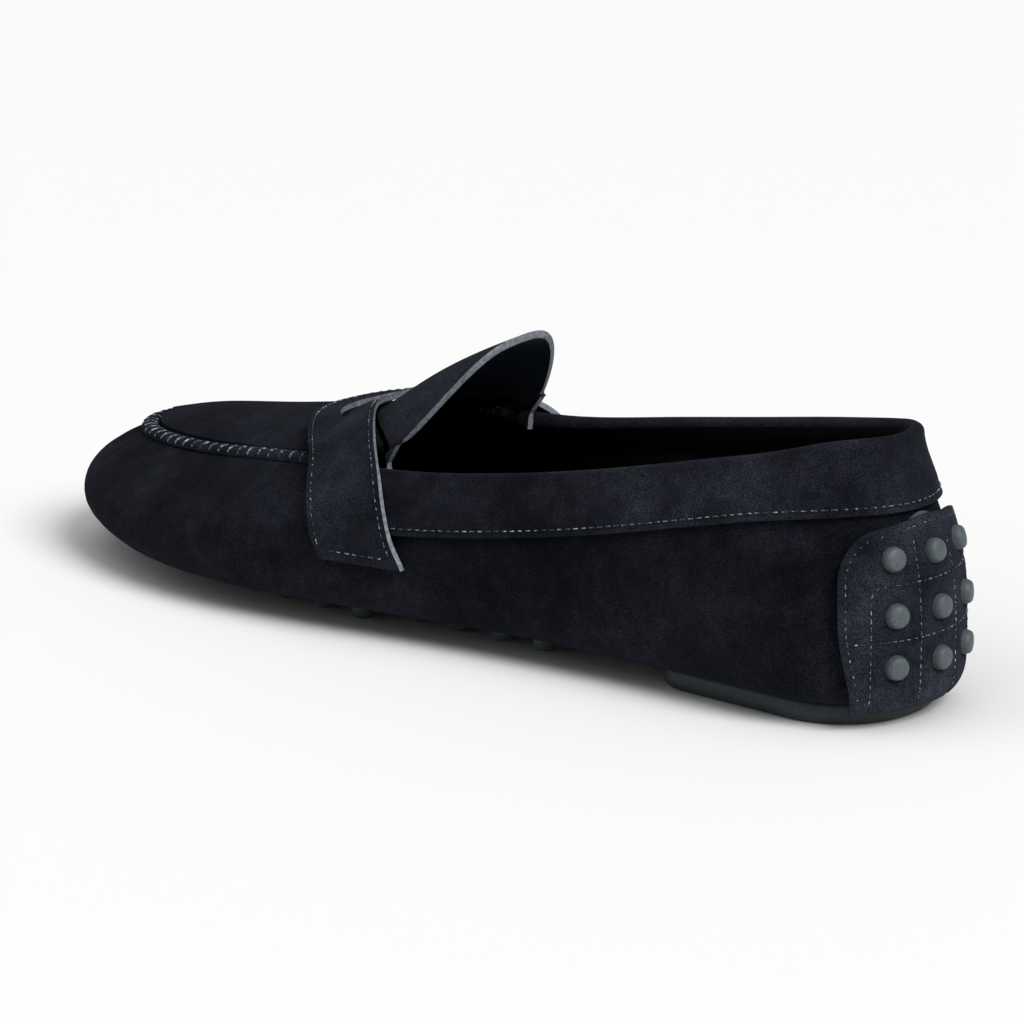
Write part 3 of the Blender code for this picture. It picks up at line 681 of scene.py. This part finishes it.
def rubber(name, dark, light, roughness):
    """Moulded rubber, a little dusty, with a fine matt skin."""
    material, tree, shader, place = nodes_of(name, roughness)
    colour = ramp(tree, noise(tree, place, 1500, 4, 0.65), [(0.34, dark), (0.68, light)])
    dress(tree, shader, colour, bump(tree, noise(tree, place, 1500), 0.08, 0.4))
    rough = tree.nodes.new("ShaderNodeMapRange")
    rough.inputs["To Min"].default_value = roughness - 0.08
    rough.inputs["To Max"].default_value = roughness + 0.1
    tree.links.new(noise(tree, place, 400), rough.inputs["Value"])
    tree.links.new(rough.outputs["Result"], shader.inputs["Roughness"])
    return material


def thread_material():
    """Dark waxed thread with its twist, with pale spots painted in its colour as highlights."""
    material, tree, shader, place = nodes_of("navy_thread_painted_highlights", 0.35)
    # Dark navy, and pale steel-blue where highlights are painted.
    tones = [(0.46, (0.026, 0.040, 0.062)), (0.66, (0.36, 0.44, 0.52))]
    colour = ramp(tree, noise(tree, place, 900), tones)
    dress(tree, shader, colour, bump(tree, noise(tree, place, 3500, 2), 0.12, 0.5))
    return material


# Pieces


def side_places(count):
    """Places from heel to toe, closer together at both ends."""
    steps = np.linspace(0, 1, count + 1)
    return 0.5 * (0.55 * steps + 0.45 * (1 - np.cos(pi * steps)) / 2)


def ring_sections(columns):
    """Sections all round the shoe, heel first, with the toe half way."""
    places = side_places(columns)
    return [Section(place) for place in places] + [Section(1 - place) for place in places[-2:0:-1]]


def dent(section, z):
    """How far the wall swells out (or in, below 0) at a height."""
    out = 0.0
    for row in DENTS:
        side, along, height, half_length, half_height, tilt, depth = row
        if side * section.across > 0:
            run = (section.along - along) / half_length
            rise = (z - height - tilt * (section.along - along)) / half_height
            out += depth * exp(-run * run - rise * rise)
    return out


def gathers(section, level):
    """Pleats of the wall below the apron seam, strongest at the toe."""
    weight = ease((section.along - GATHER_START) / GATHER_FADE) * ease((level - 0.45) / 0.5)
    return -GATHER_DEPTH * weight * (1 - gather_wave(section.place)) / 2


def make_upper(skin, lining):
    """The bowl: suede outside, leather lining inside."""
    sections = ring_sections(150)
    below = [-1 + i / 7 for i in range(7)]
    above = [sin(pi / 2 * i / 20) for i in range(21)]
    rings = []
    for level in below + above:
        ring = []
        for section in sections:
            out = gathers(section, level)
            if level > -0.6:
                out += dent(section, section.point(level).z)
            ring.append(section.point(level, out))
        rings.append(ring)
    faces_out = len(rings)
    for level in reversed(below + above):
        rings.append([section.point(level, -WALL) for section in sections])
    upper = rings_body("upper_suede", rings, lambda row: int(row > faces_out), [skin, lining])
    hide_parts("upper")


def collar_depth(section):
    """Depth of the collar's outer leaf, which is greatest at the back of the heel."""
    return COLLAR_DEPTH + COLLAR_HEEL_DROP * ease(1 - section.along / 40)


def collar_profile(section):
    """Outer leaf with a pinched row of stitches, rounded fold and short inner leaf."""
    near = OVERLAY_GAP
    far = near + COLLAR_LEATHER
    foot = section.level_at(section.rim - collar_depth(section))
    hem = section.level_at(section.rim - COLLAR_INSIDE)
    row = []
    for i in range(LEAF_STEPS + 1):
        share = i / LEAF_STEPS
        pinch = COLLAR_PINCH * exp(-((share - EDGE_MARGIN / COLLAR_DEPTH) / 0.05) ** 2)
        puff = COLLAR_PUFF * sin(pi * share) - pinch
        row.append(section.point(foot + (1 - foot) * share, far + puff - FOLD_THINNING * ease(share)))
    middle = section.point(1.0, -WALL / 2)
    side = section.point(1.0, far - FOLD_THINNING) - middle
    for i in range(1, FOLD_STEPS):
        turn = pi * i / FOLD_STEPS
        row.append(middle + side * cos(turn) + Vector((0, 0, far * sin(turn))))
    for share in (0.0, 0.5, 1.0):
        row.append(section.point(1 + (hem - 1) * share, -WALL - far + FOLD_THINNING))
    row.append(section.point(hem, -WALL - 0.1))
    row.append(section.point(1.0, -WALL - 0.1) + Vector((0, 0, near)))
    row.append(section.point(1.0, near) + Vector((0, 0, near)))
    row.append(section.point(0.5 * (foot + 1), near))
    row.append(section.point(foot, near))
    return row


def collar_range():
    outer_end = rim_section(COLLAR_END, True).place
    inner_end = rim_section(COLLAR_END, False).place - 1
    return inner_end, outer_end


def make_collar(skin, edge, lining, thread):
    inner_end, outer_end = collar_range()
    sections = [Section(place) for place in np.linspace(inner_end, outer_end, 181)]
    rows = [collar_profile(section) for section in sections]
    last = len(rows[0]) - 1
    fold = LEAF_STEPS + FOLD_STEPS
    slots = [0] * fold + [2] * (last - fold) + [1]
    collar = loft("collar_band", rows, lambda i: slots[i], [skin, edge, lining])
    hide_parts("collar")

    def sewn(section, out):
        level = section.level_at(section.rim - collar_depth(section) + EDGE_MARGIN)
        return section.point(level, out)

    strands = running_stitch(sewn, sections, OVERLAY_GAP + COLLAR_LEATHER - 0.05)
    threads("collar_stitches", strands, thread)


def make_lining_tape(material):
    """Narrow tape that closes the lining inside the topline, under the collar's inner leaf."""
    inner_end, outer_end = collar_range()
    outer = []
    inner = []
    for place in np.linspace(inner_end + 0.03, outer_end - 0.03, 121):
        section = Section(place)
        levels = [section.level_at(section.rim - COLLAR_INSIDE + 1 - drop) for drop in (0, 3, 6, 9)]
        outer.append([section.point(level, -WALL - 0.9) for level in levels])
        inner.append([section.point(level, -WALL - 0.1) for level in levels])
    shell("lining_tape", outer, inner, [material] * 3)


def heel_run():
    places = np.linspace(-0.12, 0.12, 241)
    run = run_along([(read("along", place), read("across", place)) for place in places])
    return run - run[len(run) // 2], places


HEEL_RUN, HEEL_PLACES = heel_run()


def patch_point(spot, out):
    """A point over the wall. spot is its run from the back centre along the widest line, and its height."""
    run, height = spot
    return Section(float(np.interp(run, HEEL_RUN, HEEL_PLACES))).at_height(height, out)


def patch_reach(reach, height):
    """Half width of the patch at a height: it is shorter at its foot."""
    full = PATCH_TOP * 0.6
    return reach - PATCH_TAPER * ease((full - height) / full)


def overlay_grid(reach, foot, top, out, columns, rows, tab, swell=None):
    """Grid of points over a heel piece with rounded upper corners and a raised middle."""
    grid = []
    for share in np.sin(np.linspace(-pi / 2, pi / 2, columns)):
        into = max(0.0, abs(share) * reach - (reach - PATCH_CORNER))
        high = top - PATCH_CORNER + sqrt(max(PATCH_CORNER ** 2 - into ** 2, 0.0))
        rise, spread = tab
        high += rise * ease(1 - abs(share) * spread)
        line = []
        for i in range(rows):
            height = foot + (high - foot) * (i / (rows - 1)) ** 1.2
            run = share * patch_reach(reach, height)
            more = swell(run, height) if swell else 0.0
            line.append(patch_point((run, height), out + more))
        grid.append(line)
    return grid


def stud_centres():
    return [(turn * HEEL_STUD_TURN, height) for height in HEEL_STUD_ROWS for turn in (1, 0, -1)]


def quilted(run, height):
    """Swell of the patch, below 0 along its stitched lines and round each stud."""
    lines = [abs(height - row) for row in GRID_ROWS] + [abs(run - turn) for turn in GRID_TURNS]
    lines += [abs(abs(run) - FRAME_TURN)] if height < GRID_ROWS[1] else []
    swell = 0.0
    for distance in lines:
        swell -= QUILT_DEPTH * exp(-(distance / QUILT_WIDTH) ** 2)
    for turn, row in stud_centres():
        distance = sqrt((run - turn) ** 2 + (height - row) ** 2)
        swell -= RING_DEPTH * exp(-((distance - STUD_RADIUS) / RING_WIDTH) ** 2)
    return swell


def both_sides(half):
    """A line from the outer side to the middle, carried on to the inner side."""
    return half + [(-run, height) for run, height in reversed(half[:-1])]


def patch_outline(margin):
    """Run and height along a line inside the patch's edge, from the outer foot over the top."""
    reach = PATCH_REACH
    half = []
    for height in np.linspace(PATCH_FOOT + 0.8, PATCH_TOP - PATCH_CORNER, 30):
        half.append((patch_reach(reach, height) - margin, height))
    for turn in np.linspace(0, pi / 2, 14)[1:]:
        size = PATCH_CORNER - margin
        half.append((reach - PATCH_CORNER + size * cos(turn), PATCH_TOP - PATCH_CORNER + size * sin(turn)))
    for run in np.linspace(reach - PATCH_CORNER, 0, 14)[1:]:
        half.append((run, PATCH_TOP - margin + PATCH_TAB * ease(1 - run / reach * PATCH_TAB_SPREAD)))
    return both_sides(half)


def patch_lines():
    """Every stitched line of the patch, as runs and heights."""
    low, high = GRID_ROWS
    lines = [patch_outline(EDGE_MARGIN)]
    for turn in GRID_TURNS:
        heights = np.linspace(PATCH_TOP - EDGE_MARGIN - 1, PATCH_FOOT + 1, 50)
        lines.append([(turn, height) for height in heights])
    bend = FRAME_TURN - FRAME_RADIUS
    base = high - FRAME_RADIUS
    half = [(FRAME_TURN, height) for height in np.linspace(PATCH_FOOT + 1, base, 30)]
    for turn in np.linspace(0, pi / 2, 7)[1:]:
        half.append((bend + FRAME_RADIUS * cos(turn), base + FRAME_RADIUS * sin(turn)))
    half += [(run, high) for run in np.linspace(bend, 0, 14)[1:]]
    lines.append(both_sides(half))
    edge = patch_reach(PATCH_REACH, low) - EDGE_MARGIN
    lines.append([(run, low) for run in np.linspace(edge, -edge, 50)])
    return lines


def dome(base, radius, rise):
    """Profile of a stud: straight foot, round shoulder and nearly flat top."""
    flat = 0.66
    steps = 9
    foot = base + 0.3
    profile = [(radius * 1.06, -1.2), (radius * 1.02, base), (radius, foot)]
    for step in range(1, steps):
        turn = step * pi / 2 / steps
        share = flat + (1 - flat) * cos(turn)
        profile.append((radius * share, foot + (rise - 0.55) * sin(turn) ** 0.9))
    for share, drop in ((0.50, 0.12), (0.26, 0.03), (0.08, 0.0)):
        profile.append((radius * share, base + rise - drop))
    return profile


def make_heel_sheet(grey_rubber):
    grid = (PATCH_REACH - SHEET_MARGIN, SHEET_FOOT, SHEET_TOP)
    outer = overlay_grid(*grid, SHEET_OUT, 49, 12, SHEET_TAB)
    inner = overlay_grid(*grid, OVERLAY_GAP, 49, 12, SHEET_TAB)
    sheet = shell("heel_rubber_sheet", outer, inner, [grey_rubber] * 3)
    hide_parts("heel_stud_sheet")


def make_heel_patch(skin, edge):
    grid = (PATCH_REACH, PATCH_FOOT, PATCH_TOP)
    tab = (PATCH_TAB, PATCH_TAB_SPREAD)
    outer = overlay_grid(*grid, PATCH_OUT, 121, 90, tab, quilted)
    inner = overlay_grid(*grid, SHEET_OUT + GAP - 0.7, 121, 90, tab)
    patch = shell("heel_patch_suede", outer, inner, [skin, edge, skin], 0.15)
    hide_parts("heel_patch")


def make_heel_studs(grey_rubber):
    studs = []
    sunk = 0.6
    for spot in stud_centres():
        base = patch_point(spot, 0.0)
        outward = (patch_point(spot, 1.0) - base).normalized()
        place = Matrix.Translation(base) @ outward.to_track_quat("Z", "Y").to_matrix().to_4x4()
        studs.append((dome(PATCH_OUT - sunk, STUD_RADIUS * 0.96, HEEL_STUD_RISE + sunk), place, 40))
    place_studs("heel_studs", studs, grey_rubber)


def make_patch_stitches(thread):
    strands = []
    for line in patch_lines():
        strands += running_stitch(patch_point, line, PATCH_OUT - PATCH_SUNK, PATCH_PITCH, PATCH_STITCH)
    threads("patch_stitches", strands, thread)


def plate_outline(steps):
    """Outline of the rubber heel piece, from the middle of its back round the outer side."""
    outline = []
    corners = (
        (PLATE_BACK + PLATE_BACK_RADIUS, PLATE_HALF_WIDTH - PLATE_BACK_RADIUS, PLATE_BACK_RADIUS, 180),
        (PLATE_FRONT - PLATE_FRONT_RADIUS, PLATE_HALF_WIDTH - PLATE_FRONT_RADIUS, PLATE_FRONT_RADIUS, 90),
    )
    for along, across, radius, start in corners:
        for step in range(steps + 1):
            angle = radians(start - step * 90 / steps)
            outline.append((along + radius * cos(angle), across + radius * sin(angle)))
    return outline + [(along, -across) for along, across in reversed(outline)]


def make_heel_plate(grey_rubber):
    """Rubber heel piece with rounded lower edges."""
    outline = plate_outline(16)
    middle = (PLATE_BACK + PLATE_FRONT) / 2
    turns = np.linspace(0, pi / 2, 9)
    rounding = [(PLATE_EDGE * (1 - sin(turn)), PLATE_EDGE * (1 - cos(turn))) for turn in turns]
    top = BOTTOM_LIFT - GAP
    rings = [(14.0, 0.0), (7.0, 0.0)] + rounding + [(0.0, top - 1.0), (0.25, top - 0.3), (0.8, top)]
    sections = []
    for inset, height in rings:
        ring = []
        for along, across in outline:
            share_along = 1 - inset / (PLATE_FRONT - middle)
            share_across = 1 - inset / PLATE_HALF_WIDTH
            ring.append(Vector((across * share_across, -(middle + (along - middle) * share_along), height)))
        sections.append(ring)
    plate = loft("heel_rubber", sections, lambda i: 0, [grey_rubber])
    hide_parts("heel_plate")


def bottom_edges(along):
    """Across of the level bottom's outer and inner edge."""
    edges = []
    for fine in (np.linspace(0.01, 0.5, 240), np.linspace(0.99, 0.5, 240)):
        rows = [Section(place).point(-1.0) for place in fine]
        edges.append(float(np.interp(along, [-p.y for p in rows], [p.x for p in rows])))
    return edges


def make_sole(grey_rubber):
    """Studs under the foot. The sheet that carries them is hidden inside the bowl."""
    foot = 2.2
    studs = []
    for row in range(STUD_ROWS):
        along = STUD_FIRST_ROW + row * STUD_PITCH_ALONG
        outer, inner = bottom_edges(along)
        outer -= STUD_MARGIN
        inner += STUD_MARGIN
        count = int((outer - inner) // STUD_PITCH_ACROSS) + 1
        start = (outer + inner - (count - 1) * STUD_PITCH_ACROSS) / 2
        for i in range(count):
            across = start + i * STUD_PITCH_ACROSS
            height = bottom_height(along, across)
            place = Matrix.Translation(Vector((across, -along, height))) @ Matrix.Rotation(pi, 4, "X")
            studs.append((dome(foot, STUD_RADIUS, BOTTOM_LIFT - foot), place, 28))
    sole = place_studs("sole_studs", studs, grey_rubber)
    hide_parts("stud_sole")


def liner_ring(sections, height, clearance):
    """Ring inside the wall, a height above the inner face of the bottom."""
    ring = []
    levels = np.linspace(-1, 0.5, 40)
    for section in sections:
        wanted = section.bottom + WALL + height
        heights = [section.point(level, -WALL - clearance).z for level in levels]
        edge = section.point(float(np.interp(wanted, heights, levels)), -WALL - clearance)
        ring.append(Vector((edge.x, edge.y, bottom_height(-edge.y, edge.x) + WALL + height)))
    return ring


def make_insole(leather):
    """Leather insole with a softly rounded rim."""
    sections = ring_sections(70)
    base = OVERLAY_GAP + SOLE_RUBBER + GAP
    rises = ((-1.6, 0.7), (0.0, 0.7), (1.6, 0.7), (2.3, 1.2), (INSOLE_THICKNESS, 2.4))
    rings = [liner_ring(sections, base + rise, clearance) for rise, clearance in rises]
    insole = rings_body("insole_leather", rings, lambda row: 0, [leather])
    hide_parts("insole")


def tongue_point(step, turn):
    """A point of the tongue's top, with step 0 at its root and 1 at its tip, turn from side to side."""
    share = min(max(turn, -1.0), 1.0)
    tucked = (abs(turn) - abs(share)) / TONGUE_TUCK
    tip = TONGUE_TIP + TONGUE_TIP_DEPTH * abs(share) ** TONGUE_TIP_CURL + TONGUE_CORNER * tucked
    along = swept(TONGUE_FRONT, share) * (1 - step) + tip * step
    power = CROWN_POWER * (1 - step) + TIP_POWER * step
    point = crown_point(along, share, TONGUE_SIDE_GAP, 0.0, power)
    side = 1 if share > 0 else -1
    wave = 0.5 * sin(3.1 * share + 2.2 * step) * step
    return point + Vector((-TONGUE_TUCK_IN * side * tucked, 0, wave - TONGUE_TUCK_DEPTH * tucked))


def make_tongue(skin, edge, lining):
    """Arched flap whose sides are tucked down inside the topline."""
    outer = []
    inner = []
    turns = np.linspace(1 + TONGUE_TUCK, -1 - TONGUE_TUCK, 81)
    last = len(turns) - 1
    for step in np.linspace(0, 1, 41):
        top = [tongue_point(step, turn) for turn in turns]
        under = []
        for k, point in enumerate(top):
            across = top[min(k + 1, last)] - top[max(k - 1, 0)]
            below = Vector((across.z, 0, -across.x)).normalized()
            if below.z > 0:
                below = -below
            under.append(point + below * TONGUE_LEATHER)
        outer.append(top)
        inner.append(under)
    tongue = shell("tongue_flap", outer, inner, [skin, edge, lining], 0.2)
    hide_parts("tongue")


def make_apron(skin):
    """Plug over the toes, a little uneven in its middle."""
    inset = SEAM_WIDTH + GAP
    blunt = rim_line(True, inset)[0][-1] - APRON_BLUNT
    rows = [(step, 0.0) for step in np.linspace(0, 1, 40)]
    toe_steps = (1 - np.linspace(0.04, 1, 22)) ** 2
    rows += [(1.0, reach) for reach in np.minimum(1 - toe_steps * 0.999 - 0.001, 0.995)]
    outer = []
    for step, reach in rows:
        line = []
        for share in np.linspace(1, -1, 49):
            along = swept(APRON_BACK, share) * (1 - step) + blunt * step + APRON_BLUNT * reach
            point = crown_point(along, share, inset, 0.0)
            soft = 0.25 * sin(0.11 * along + 2 * share) * (1 - share * share)
            line.append(point + Vector((0, 0, soft)))
        outer.append(line)
    inner = [[point - Vector((0, 0, APRON_LEATHER)) for point in line] for line in outer]
    apron = shell("apron_suede", outer, inner, [skin] * 3)
    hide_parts("apron")


def make_seam(skin, thread):
    """Raised seam with its gathers, sewn over by hand in a waxed thread."""
    start, end = [rim_section(SEAM_BACK, outer_side).place for outer_side in (True, False)]
    rows = []
    for place in np.linspace(start, end, 361):
        rise = SEAM_HEIGHT * (0.90 + 0.14 * gather_wave(place))
        rows.append([seam_point(Section(place), share, rise) for share in np.linspace(0, 1, 12)])
    seam = loft("apron_seam_bead", rows, lambda i: 0, [skin], 75)
    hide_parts("apron_seam")
    strands = []
    first, last = np.interp((start, end), FINE_PLACES, RIM_RUN) / GATHER_PITCH
    for i in range(int(last - first)):
        hollow = (np.ceil(first - 0.5) + 0.5 + i) * GATHER_PITCH
        place = float(np.interp(hollow, RIM_RUN, FINE_PLACES))
        section = Section(place)
        slant = Section(place + 0.0012)
        rise = SEAM_HEIGHT * 0.80
        strand = []
        for share in np.linspace(0.04, 0.96, 9):
            point = seam_point(section, share, rise).lerp(seam_point(slant, share, rise), share)
            strand.append(point + Vector((0, 0, 0.12)))
        strands.append(strand)
    threads("seam_thread", strands, thread, SEAM_THREAD)


def seam_point(section, share, rise):
    """A point over the seam from its outer foot to its inner one."""
    turn = pi * share
    edge = section.point(1.0)
    inward = Vector((section.inward[1], -section.inward[0], 0))
    run = (1 - cos(turn)) / 2 * (SEAM_WIDTH + 0.3) - 0.5
    return edge + inward * run + Vector((0, 0, 0.1 + rise * sin(turn) ** 0.7))


def strap_point(back, share, out):
    """A point of the strap: share from 0 at the outer foot, over the crown, to 1 at the inner."""
    run, points, normals = strap_line(round(back, 3))
    place = share * run[-1]
    point = Vector([float(np.interp(place, run, points[:, k])) for k in range(3)])
    normal = Vector([float(np.interp(place, run, normals[:, k])) for k in range(3)]).normalized()
    return point + normal * out


@lru_cache(maxsize=None)
def strap_line(back):
    """Underside of the strap on the line that starts there: run, points and normals."""
    collar = OVERLAY_GAP + COLLAR_LEATHER
    crown = []
    for share in np.linspace(0.985, -0.985, 41):
        over = OVERLAY_GAP + collar * ease(1.3 * abs(share))
        crown.append(crown_point(swept(back, share), share, -collar - OVERLAY_GAP, over))
    wings = []
    for outer_side in (True, False):
        wing = []
        for i in range(16):
            drop = i / 15
            section = rim_section(back - STRAP_SWEEP - STRAP_WING_SWEEP * drop, outer_side)
            top = section.rim - 1.0
            height = top + (STRAP_FOOT - top) * drop
            under = ease((height - section.rim + COLLAR_DEPTH + 7) / 6)
            wing.append(section.at_height(height, OVERLAY_GAP + collar * under))
        wings.append(wing)
    points = wings[0][::-1] + crown + wings[1]
    rows = np.array([tuple(point) for point in points])
    for _ in range(3):
        rows[1:-1] = (rows[:-2] + 2 * rows[1:-1] + rows[2:]) / 4
    tangent = np.gradient(rows, axis=0)
    normals = np.stack([-tangent[:, 2], np.zeros(len(rows)), tangent[:, 0]], axis=1)
    normals *= np.where(normals[:, 2:3] + normals[:, 0:1] * np.sign(rows[:, 0:1]) < 0, -1, 1)
    return run_along(rows), rows, normals


def make_strap(skin, edge, thread):
    """Saddle strap with an almond slot and a stitched margin."""
    outer = []
    inner = []
    backs = np.linspace(STRAP_BACK, STRAP_BACK + STRAP_WIDTH, 31)
    shares = np.linspace(0, 1, 141)
    for back in backs:
        outer.append([strap_point(back, share, STRAP_LEATHER) for share in shares])
        inner.append([strap_point(back, share, 0.0) for share in shares])
    strap = shell("strap_suede", outer, inner, [skin, edge, skin], 0.15)
    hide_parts("saddle_strap")
    cut_slot(strap, edge)
    front = STRAP_BACK + STRAP_WIDTH
    strands = []
    for back in (STRAP_BACK + EDGE_MARGIN, front - EDGE_MARGIN):
        shares = np.linspace(0.02, 0.98, 121)
        strands += running_stitch(lambda share, out: strap_point(back, share, out), shares, STRAP_LEATHER)
    for share in (0.02, 0.98):
        backs = np.linspace(STRAP_BACK + 2 * EDGE_MARGIN, front - 2 * EDGE_MARGIN, 12)
        strands += running_stitch(lambda back, out: strap_point(back, share, out), backs, STRAP_LEATHER)
    threads("strap_stitches", strands, thread)


def cut_slot(strap, material):
    """Cut the slot through the strap. Its sides take the material."""
    cutter = slot_cutter(material)
    change = strap.modifiers.new("slot", "BOOLEAN")
    change.object = cutter
    change.operation = "DIFFERENCE"
    change.solver = "EXACT"
    bpy.context.view_layer.update()
    cut = bpy.data.meshes.new_from_object(strap.evaluated_get(bpy.context.evaluated_depsgraph_get()))
    strap.modifiers.clear()
    strap.data = cut
    bpy.data.objects.remove(cutter, do_unlink=True)


def slot_cutter(material):
    """Almond-shaped prism through the middle of the strap, swept as the strap is."""
    rings = []
    for height in SLOT_CUT_HEIGHTS:
        ring = []
        for i in range(64):
            angle = 2 * pi * i / 64
            share = SLOT_SHARE * cos(angle)
            middle = swept(STRAP_BACK + STRAP_WIDTH / 2, share)
            along = middle + SLOT_WIDTH / 2 * sin(angle) * abs(sin(angle)) ** 0.3
            ring.append(Vector((crown_point(middle, share, 0.0, 0.0).x, -along, height)))
        rings.append(ring)
    faces = rod(len(rings), len(rings[0]))
    mesh = new_mesh("slot_cutter", rings[0] + rings[1], faces, [0] * len(faces), [material])
    return add_object("slot_cutter", mesh)


# Floor, light and camera


def make_floor():
    mesh = bpy.data.meshes.new("floor")
    size = 6.0
    corners = [(-size, -size, 0), (size, -size, 0), (size, size, 0), (-size, size, 0)]
    mesh.from_pydata(corners, [], [(0, 1, 2, 3)])
    material = bpy.data.materials.new("pale_floor")
    material.use_nodes = True
    shader = material.node_tree.nodes["Principled BSDF"]
    shader.inputs["Base Color"].default_value = (0.92, 0.92, 0.92, 1)
    shader.inputs["Roughness"].default_value = 0.7
    shader.inputs["Specular IOR Level"].default_value = 0.2
    mesh.materials.append(material)
    floor = add_object("floor", mesh)


def soft_light(name, direction, softness, strength):
    """Even light from a wide source far off, in the direction that points at it."""
    light = bpy.data.lights.new(name, "SUN")
    light.angle = radians(softness)
    light.energy = strength
    add_object(name, light).rotation_euler = Vector(direction).to_track_quat("Z", "Y").to_euler()


def make_lights():
    for light in LIGHTS:
        soft_light(*light)
    world = bpy.data.worlds.new("studio")
    world.use_nodes = True
    background = world.node_tree.nodes["Background"]
    background.inputs["Color"].default_value = (1, 1, 1, 1)
    background.inputs["Strength"].default_value = SURROUNDINGS
    bpy.context.scene.world = world


def set_tones():
    """Plain tones, a little darker in the shadows, so that the floor is as white as in the photograph."""
    view = bpy.context.scene.view_settings
    view.view_transform = "Standard"
    view.gamma = VIEW_GAMMA


def make_camera():
    camera = bpy.data.cameras.new("camera")
    camera.sensor_width = 36
    camera.lens = CAMERA_LENS
    camera.clip_start = 0.05
    item = add_object("camera", camera)
    place = Vector(CAMERA_PLACE) * MM
    item.location = place
    item.rotation_euler = (Vector(CAMERA_AIM) * MM - place).to_track_quat("-Z", "Y").to_euler()
    bpy.context.scene.camera = item


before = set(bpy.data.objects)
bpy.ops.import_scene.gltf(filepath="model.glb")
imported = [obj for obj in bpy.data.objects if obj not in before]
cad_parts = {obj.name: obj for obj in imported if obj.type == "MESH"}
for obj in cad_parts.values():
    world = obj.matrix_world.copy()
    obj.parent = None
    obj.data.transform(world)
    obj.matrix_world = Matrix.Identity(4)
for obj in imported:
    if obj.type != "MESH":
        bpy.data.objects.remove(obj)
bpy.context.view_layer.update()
SHIFT = frame_shift()

wall_suede = suede("navy_suede_wall", (0.014, 0.0168, 0.0255), (0.050, 0.0550, 0.0740))
trim_suede = suede("navy_suede_band", (0.022, 0.0252, 0.0365), (0.086, 0.0910, 0.1180), 0.04)
# Painted light: the heel patch's suede is the band's suede made lighter, for the back light that falls on
# the heel.
patch_suede_painted_lighter = suede("navy_suede_patch_painted_lighter", (0.032, 0.0365, 0.0520), (0.118, 0.1260, 0.1620), 0.05)
# Cut edge of the collar and the heel patch: its own fibres, made darker than the pale edges of the strap
# and tongue as painted shade for the dark gap along these edges.
dark_edge_painted_shade = raw_edge("suede_edge_painted_shade", (0.010, 0.013, 0.018), (0.050, 0.060, 0.074))
pale_edge = raw_edge("suede_pale_edge", (0.12, 0.13, 0.15), (0.36, 0.38, 0.42))
lining = smooth_leather("navy_lining", (0.0008, 0.0010, 0.0020), (0.0022, 0.0027, 0.0045), 0.55)
tongue_lining = smooth_leather("tongue_lining", (0.016, 0.023, 0.034), (0.032, 0.044, 0.060), 0.6)
tape = smooth_leather("grey_teal_tape", (0.008, 0.011, 0.013), (0.018, 0.023, 0.027), 0.6)
stud_rubber = rubber("grey_green_rubber", (0.074, 0.092, 0.100), (0.112, 0.130, 0.138), 0.52)
plate_rubber = rubber("dark_heel_rubber", (0.018, 0.029, 0.033), (0.032, 0.046, 0.052), 0.5)
thread = thread_material()

make_upper(wall_suede, lining)
make_collar(trim_suede, dark_edge_painted_shade, lining, thread)
make_lining_tape(tape)
make_heel_sheet(stud_rubber)
make_heel_patch(patch_suede_painted_lighter, dark_edge_painted_shade)
make_heel_studs(stud_rubber)
make_patch_stitches(thread)
make_heel_plate(plate_rubber)
make_sole(stud_rubber)
make_insole(lining)
make_tongue(trim_suede, pale_edge, tongue_lining)
make_apron(wall_suede)
make_seam(trim_suede, thread)
make_strap(trim_suede, pale_edge, thread)
make_floor()
make_lights()
set_tones()
make_camera()
